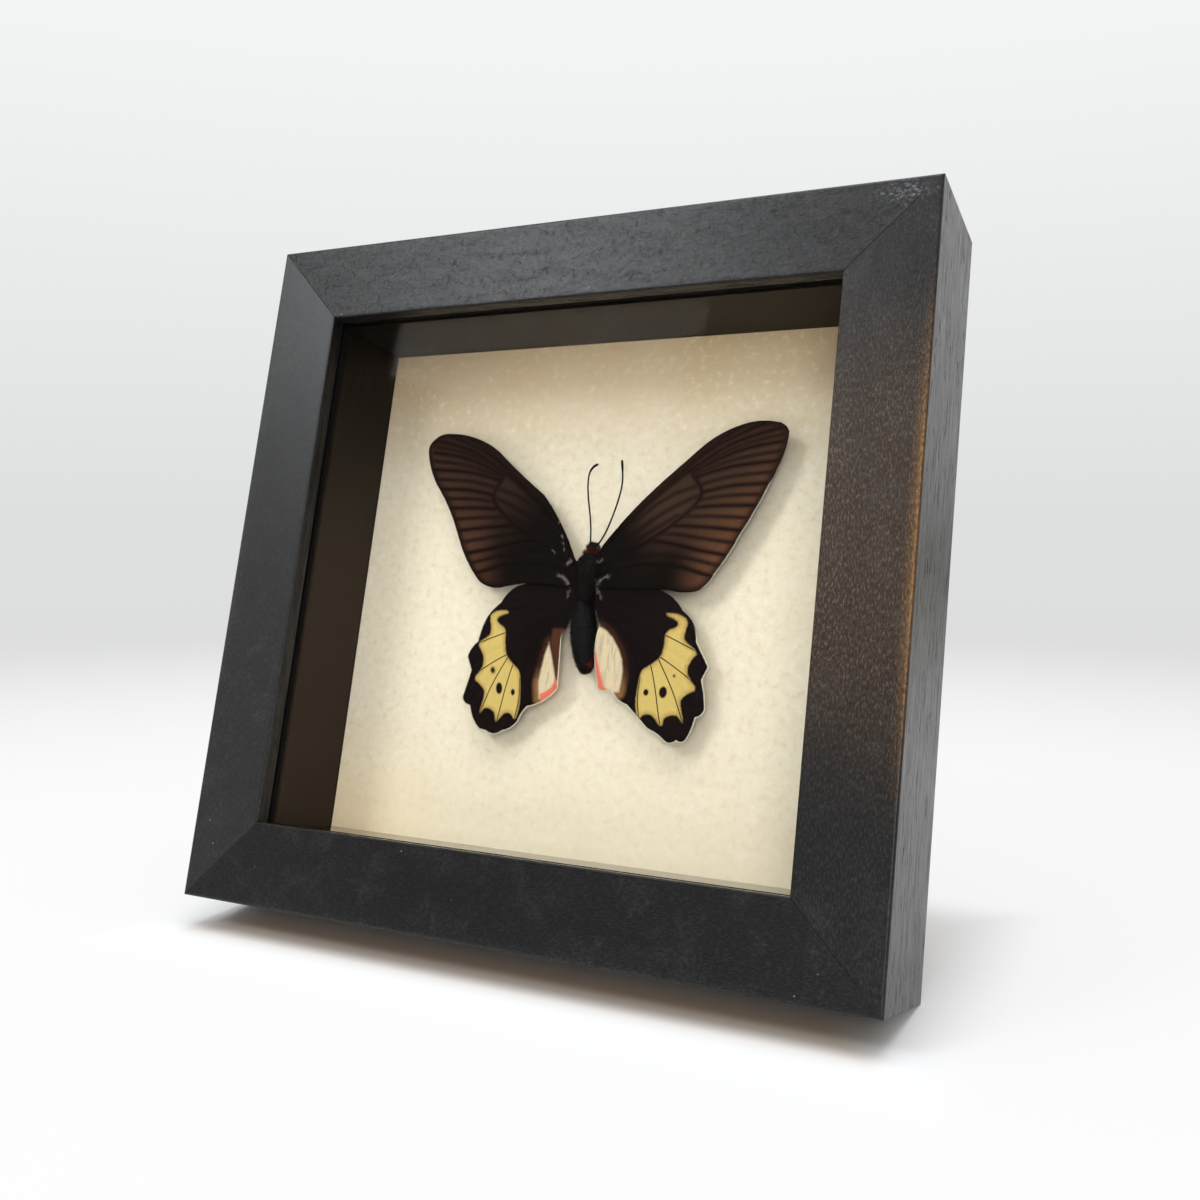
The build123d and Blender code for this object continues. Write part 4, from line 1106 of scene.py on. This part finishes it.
def body_rings(line, profile, count, flatten, segments):
    """Rings along a body line, pinched a little between its segments."""
    rear, front, radius = line
    heading = (front - rear).normalized()
    rings = []
    for k in range(count + 1):
        share = 0.5 - 0.5 * math.cos(math.pi * k / count)
        pinch = 0.0
        if segments:
            pinch = 0.045 * abs(math.cos(math.pi * segments * share)) ** 6
        size = radius * profile_at(profile, share) * (1 - pinch)
        rings.append((rear.lerp(front, share), heading, size, size * flatten))
    return rings


def roughen(places, scale, amount, seed):
    """Push places about a little, so that a skin isn't even."""
    return [place + noise.noise_vector(place * scale + Vector((seed, 0, 0))) * amount for place in places]


def fur(name, roots, length, thick, material, seed, spread=0.35):
    """Fine tapered hairs, each from a root of (place, outward way, lie), as one piece."""
    dice = random.Random(seed)
    places = []
    faces = []
    for place, outward, lie in roots:
        first = len(places)
        long = length * dice.uniform(0.6, 1.25)
        wander = Vector([dice.gauss(0, spread) for _ in range(3)])
        way = (outward * 0.55 + lie * 0.8 + wander).normalized()
        late = (outward * 0.15 + lie * 1.1 + wander * 1.3).normalized()
        base = place - outward * 0.08
        middle = place + way * long * 0.5
        tip = middle + late * long * 0.5
        side = way.orthogonal().normalized()
        other = way.cross(side)
        for centre, wide in ((base, thick), (middle, thick * 0.75)):
            for i in range(FUR_SIDES):
                turn = 2 * math.pi * i / FUR_SIDES
                places.append(centre + (side * math.cos(turn) + other * math.sin(turn)) * wide)
        places.append(tip)
        faces.append((first + 2, first + 1, first))
        for i in range(FUR_SIDES):
            j = (i + 1) % FUR_SIDES
            faces.append((first + i, first + j, first + 3 + j, first + 3 + i))
            faces.append((first + 3 + i, first + 3 + j, first + 6))
    add_piece(name, places, faces, material, "body_scales")


def roots_on(line, profile, flatten, count, seed, stretch=(0.02, 0.98), turns=(0, 2 * math.pi), lie=-1.0):
    """Hair roots spread over a stretch of a body part, given in shares of its length."""
    rear, front, radius = line
    heading = (front - rear).normalized()
    across = heading.cross(Vector((0, 0, 1))).normalized()
    dice = random.Random(seed)
    roots = []
    for _ in range(count):
        share = dice.uniform(*stretch)
        turn = dice.uniform(*turns)
        size = radius * profile_at(profile, share)
        outward = (across * math.cos(turn) + Vector((0, 0, math.sin(turn)))).normalized()
        rim = across * size * math.cos(turn) + Vector((0, 0, size * flatten * math.sin(turn)))
        roots.append((rear.lerp(front, share) + rim, outward, heading * lie))
    return roots


def tuft_roots(run, depth, lie, count, width, seed):
    """Hair roots beside a short run on a wing's front."""
    dice = random.Random(seed)
    line = even(rounded(run, 2), 0.1)
    roots = []
    for _ in range(count):
        across, up = line[dice.randrange(len(line))]
        place = Vector((across + dice.gauss(0, width), up + dice.gauss(0, width), depth))
        roots.append((place, Vector((0, 0, -1)), Vector((*lie, -0.2)).normalized()))
    return roots


PIT_BLACK = (0.002, 0.002, 0.002)


def chitin_finish(name, ground, sheen, patch=None, patch_field=None):
    """Dark skin with a faint bloom and fine pits, and a coloured patch where a field says so."""
    finish = Finish(name, Specular_IOR_Level=0.12)
    place = finish.in_mm()
    bloom = finish.cloud(place, 0.5, 4, 0.65)
    pits = finish.cells(place, 3.2)
    bloomed = finish.mix(bloom.rise(0.45, 0.75) * 0.6, ground, sheen)
    color = finish.mix(pits.rise(0.5, 0.9) * 0.3, bloomed, PIT_BLACK)
    if patch_field:
        mask = (finish.field(patch_field) + 0.6 * (bloom - 0.5)).rise(0.35, 0.65)
        color = finish.mix(mask, color, patch)
    return finish.done(color, 0.5 + 0.25 * bloom, pits, 0.05)


def hair_finish(name, dark, light):
    """Hair that varies from one strand to the next."""
    finish = Finish(name, Specular_IOR_Level=0.1)
    place = finish.in_mm()
    strand = finish.cloud(place, 3.5, 2, 0.6)
    return finish.done(finish.mix(strand.rise(0.35, 0.7), dark, light), 0.5 + 0.3 * strand, strand, 0.01)


# Shares of a body part's length, from its rear, with shares of its radius
THORAX_PROFILE = [
    (0, 0.5), (0.08, 0.74), (0.25, 0.9), (0.45, 0.97), (0.66, 1.0), (0.8, 0.9), (0.92, 0.66), (1, 0.36),
]
ABDOMEN_PROFILE = [
    (0, 0.2), (0.03, 0.36), (0.1, 0.58), (0.22, 0.8), (0.4, 0.97), (0.58, 1.0), (0.8, 0.86), (0.93, 0.74),
    (1, 0.66),
]
HEAD_PROFILE = [(0, 0.75), (0.2, 0.95), (0.45, 1.0), (0.7, 0.85), (0.88, 0.55), (1, 0.15)]
FRONT_HALF = (math.pi, 2 * math.pi)

black_skin = chitin_finish("body_black_skin", "070606", "141212", "6e2622", "red")
black_fur = hair_finish("body_black_fur", "030202", "2a2320")
collar_fur = hair_finish("collar_red_fur", "2e120b", "6a3322")
pale_fur = hair_finish("wing_root_pale_fur", "6d6260", "c0b4ae")

thorax_line = body_line("thorax")
abdomen_line = body_line("abdomen")
head_line = body_line("head")
red_spot = abdomen_line[0] + Vector((2.2, 2.0, -1.0))
RED_REACH = 2.6


def add_body(node, line, profile, count, flatten, segments, seed):
    """The skin of one body part, red beside one spot under the abdomen's tip."""
    places, faces = tube(body_rings(line, profile, count, flatten, segments))
    places = roughen(places, 1.1, 0.16, seed)
    piece = add_piece(node + "_skin", places, faces, black_skin, "body_scales", [node])
    add_field(piece, "red", [1 - min(1.0, (place - red_spot).length / RED_REACH) for place in places])


add_body("thorax", thorax_line, THORAX_PROFILE, 34, 0.96, 0, 1)
add_body("abdomen", abdomen_line, ABDOMEN_PROFILE, 70, 0.96, 8, 2)
add_body("head", head_line, HEAD_PROFILE, 18, 0.95, 0, 3)
fur("thorax_fur", roots_on(thorax_line, THORAX_PROFILE, 0.96, 3600, 21), 1.25, 0.045, black_fur, 31)
fur("abdomen_fur", roots_on(abdomen_line, ABDOMEN_PROFILE, 0.96, 3000, 22), 0.7, 0.035, black_fur, 32)
fur("head_fur", roots_on(head_line, HEAD_PROFILE, 0.95, 500, 23, lie=0.6), 0.7, 0.035, black_fur, 33)
collar_roots = roots_on(thorax_line, THORAX_PROFILE, 0.96, 420, 24, (0.93, 1.0), FRONT_HALF, 0.9)
collar_roots += roots_on(head_line, HEAD_PROFILE, 0.95, 260, 25, (0.0, 0.35), FRONT_HALF, 0.9)
fur("collar_fur", collar_roots, 1.1, 0.045, collar_fur, 34)

FORE_DEPTH = 24.3
HIND_DEPTH = 24.8
TUFTS = [                      # run, depth, lie, number of hairs, spread
    ([(-2.9, 5.6), (-1.9, 6.6)], FORE_DEPTH, (-0.6, 0.6), 40, 0.12),
    ([(4.6, 6.6), (5.2, 5.8), (6.4, 6.9)], FORE_DEPTH, (0.5, 0.6), 46, 0.1),
    ([(-5.2, 2.7), (-3.6, 2.4), (-2.0, 0.5)], FORE_DEPTH, (-0.7, 0.2), 90, 0.16),
    ([(8.6, 2.7), (6.9, 2.3), (5.6, 0.7)], FORE_DEPTH, (0.9, 0.2), 90, 0.16),
    ([(5.4, 0.6), (6.0, -0.9), (7.0, -2.6)], HIND_DEPTH, (0.5, -0.8), 60, 0.13),
    ([(-1.8, -0.4), (-2.4, -2.6)], HIND_DEPTH, (-0.3, -0.9), 24, 0.12),
]
tuft_hairs = []
for number, tuft in enumerate(TUFTS):
    tuft_hairs += tuft_roots(*tuft, 60 + number)
fur("wing_root_tufts", tuft_hairs, 1.1, 0.035, pale_fur, 35, 0.55)


# ---------------------------------------------------------------- feelers
FEELER_DEPTH = 24.6
FEELER_LEFT = [
    (2.5, 10.6), (2.1, 15.2), (1.4, 18.9), (0.3, 23.2), (-0.3, 27.2), (-0.2, 29.8), (0.7, 31.4),
    (2.1, 32.1),
]
FEELER_RIGHT = [(4.2, 10.4), (6.2, 13.4), (8.0, 18.7), (9.2, 23.6), (9.6, 27.2), (9.2, 30.2), (8.7, 33.0)]
FEELER_RADIUS = 0.21
CLUB_RADIUS = 0.33
CLUB_LENGTH = 3.4
BEAD_LENGTH = 0.42
BEAD_RINGS = 4
FEELER_SIDES = 10


def make_feeler(name, run, node):
    """A beaded feeler that thickens to a club."""
    line = even(rounded(run), BEAD_LENGTH / BEAD_RINGS)
    count = len(line)
    rings = []
    for i, (across, up) in enumerate(line):
        before = line[max(i - 1, 0)]
        after = line[min(i + 1, count - 1)]
        heading = Vector((after[0] - before[0], after[1] - before[1], 0)).normalized()
        left_over = (count - 1 - i) * BEAD_LENGTH / BEAD_RINGS
        club = math.sin(math.pi * (left_over / CLUB_LENGTH) ** 0.6) if left_over < CLUB_LENGTH else 0
        bead = 1 + 0.09 * math.cos(2 * math.pi * i / BEAD_RINGS)
        size = (FEELER_RADIUS + (CLUB_RADIUS - FEELER_RADIUS) * club) * bead
        if i in (0, count - 1):
            size *= 0.5
        rings.append((Vector((across, up, FEELER_DEPTH)), heading, size, size))
    add_piece(name, *tube(rings, FEELER_SIDES), feeler_skin, "body_scales", [node])


feeler_skin = chitin_finish("feeler_black", "080605", "1a1411")
make_feeler("feeler_left", FEELER_LEFT, "antenna_left")
make_feeler("feeler_right", FEELER_RIGHT, "antenna_right")


def eye_finish():
    """Dark brown compound eye."""
    finish = Finish("eye_dark_gloss", Specular_IOR_Level=0.6)
    place = finish.in_mm()
    lenses = finish.cells(place, 16.0)
    stain = finish.cloud(place, 1.6, 3)
    stained = finish.mix(stain.rise(0.4, 0.7), "120c09", "2f1f16")
    color = finish.mix(lenses.rise(0.4, 0.7) * 0.5, stained, "050404")
    return finish.done(color, 0.22 + 0.15 * stain, lenses, -0.01)


EYE_STEPS = 14
EYE_SIDES = 32


def make_eyes():
    """Two smooth domes in the places of the head's faceted eyes."""
    corners = np.array([tuple(in_case(vertex.co)) for vertex in frame["nodes"]["eyes"].data.vertices])
    middle = corners[:, 0].mean()
    places = []
    faces = []
    for side in (-1, 1):
        own = corners[(corners[:, 0] - middle) * side > 0]
        low = own.min(axis=0)
        high = own.max(axis=0)
        seat = Vector((low[0] if side > 0 else high[0], (low[1] + high[1]) / 2, (low[2] + high[2]) / 2))
        rise = high[0] - low[0]
        wide = (high[1] - low[1]) / 2
        rings = []
        for k in range(EYE_STEPS + 1):
            turn = -0.3 + (math.pi / 2 + 0.28) * k / EYE_STEPS
            away = Vector((side * rise * math.sin(turn), 0, 0))
            size = wide * math.cos(turn)
            rings.append((seat + away, Vector((side, 0, 0)), size, size))
        dome, skin = tube(rings, EYE_SIDES)
        faces += [tuple(i + len(places) for i in face) for face in skin]
        places += dome
    add_piece("eye_domes", places, faces, eye_finish(), "body_scales", ["eyes"])


make_eyes()


# ---------------------------------------------------------------- turn button screws
SCREW_SEAT = 35.8
SCREW_HEAD = 2.7
SCREW_RISE = 1.5
SCREW_SHANK = 1.4
SCREW_LENGTH = 12.2
SLOT_HALF = 0.27
SLOT_REACH = 1.45
SCREW_SIDES = 96
HEAD_RINGS = 26


def screw_height(across, up, reach):
    """How far a pan head stands up at a place, with its crossed recess."""
    dome = SCREW_RISE * (1 - 0.55 * (reach / SCREW_HEAD) ** 3)
    arm = min(abs(across), abs(up))
    inside_arm = min(1.0, max(0.0, (SLOT_HALF - arm) / 0.1))
    before_end = min(1.0, max(0.0, (SLOT_REACH - reach) / 0.12))
    return dome - inside_arm * before_end * (1.0 - 0.35 * reach)


def make_screw(across, up, turn):
    """Places and faces of one pan-head screw, its head over the button and its shank in the wood."""
    profile = [(SCREW_HEAD * (k + 1) / HEAD_RINGS, None) for k in range(HEAD_RINGS)]
    profile += [(SCREW_HEAD, 0.2), (SCREW_HEAD - 0.12, 0.0)]
    profile += [(SCREW_SHANK, 0.0), (SCREW_SHANK, -SCREW_LENGTH)]
    places = [(across, up, SCREW_SEAT + screw_height(0, 0, 0))]
    for reach, level in profile:
        for i in range(SCREW_SIDES):
            angle = 2 * math.pi * i / SCREW_SIDES
            x = reach * math.cos(angle)
            y = reach * math.sin(angle)
            rise = screw_height(x, y, reach) if level is None else level
            aside = x * math.cos(turn) - y * math.sin(turn)
            along = x * math.sin(turn) + y * math.cos(turn)
            places.append((across + aside, up + along, SCREW_SEAT + rise))
    places.append((across, up, SCREW_SEAT - SCREW_LENGTH))
    faces = [(0, 1 + (i + 1) % SCREW_SIDES, 1 + i) for i in range(SCREW_SIDES)]
    faces += turned(row_faces(len(profile), SCREW_SIDES, first=1))
    last = 1 + (len(profile) - 1) * SCREW_SIDES
    faces += [(len(places) - 1, last + i, last + (i + 1) % SCREW_SIDES) for i in range(SCREW_SIDES)]
    return places, faces


screw_places = []
screw_faces = []
for number, button in enumerate(buttons):
    seat = in_case(joints[button + "_swivel"]["pos_m"])
    places, faces = make_screw(seat.x, seat.y, 0.3 + 0.9 * number)
    screw_faces += [tuple(i + len(screw_places) for i in face) for face in faces]
    screw_places += places
add_piece("pan_head_screws", screw_places, screw_faces, zinc, "fastener", ["turn_button_screws"])


# ---------------------------------------------------------------- foam pad behind the body
def foam_finish():
    """Off-white foam with fine open pores."""
    finish = Finish("specimen_foam", Specular_IOR_Level=0.15)
    place = finish.in_mm()
    pores = finish.cells(place, 4.5)
    tone = finish.cloud(place, 0.6, 3)
    color = finish.layers(
        "ddd8cc",
        ("c3bdaf", tone.rise(0.4, 0.7)),
        ("8d867a", (1 - pores.rise(0.1, 0.3)) * 0.6),
    )
    return finish.done(color, 0.85 + 0.1 * tone, pores, 0.12)


FOAM_SIDES = 48
FOAM_LAYERS = 14


def squarish(value):
    """Flatten a round outline towards a block with rounded corners."""
    return math.copysign(abs(value) ** 0.35, value)


def make_foam_pad():
    """A small crowned block of foam whose sides pull in."""
    mesh = frame["nodes"]["specimen_pad"].data
    corners = np.array([tuple(in_case(vertex.co)) for vertex in mesh.vertices])
    low = corners.min(axis=0)
    high = corners.max(axis=0)
    middle = (low + high) / 2
    half = (high - low) / 2
    places = []
    for layer in range(FOAM_LAYERS + 1):
        level = -1 + 2 * layer / FOAM_LAYERS
        swell = 0.97 - 0.05 * (1 - level * level) - 0.10 * abs(level) ** 10
        for i in range(FOAM_SIDES):
            turn = 2 * math.pi * i / FOAM_SIDES
            wide = squarish(math.cos(turn)) * half[0] * swell
            tall = squarish(math.sin(turn)) * half[1] * swell
            places.append(Vector((middle[0] + wide, middle[1] + tall, middle[2] + half[2] * level)))
    places = roughen(places, 1.3, 0.12, 9)
    faces = turned(row_faces(FOAM_LAYERS + 1, FOAM_SIDES))
    faces.append(tuple(reversed(range(FOAM_SIDES))))
    faces.append(tuple(range(FOAM_LAYERS * FOAM_SIDES, (FOAM_LAYERS + 1) * FOAM_SIDES)))
    piece = add_piece("foam_pad", places, faces, foam_finish(), "pad", ["specimen_pad"])


make_foam_pad()
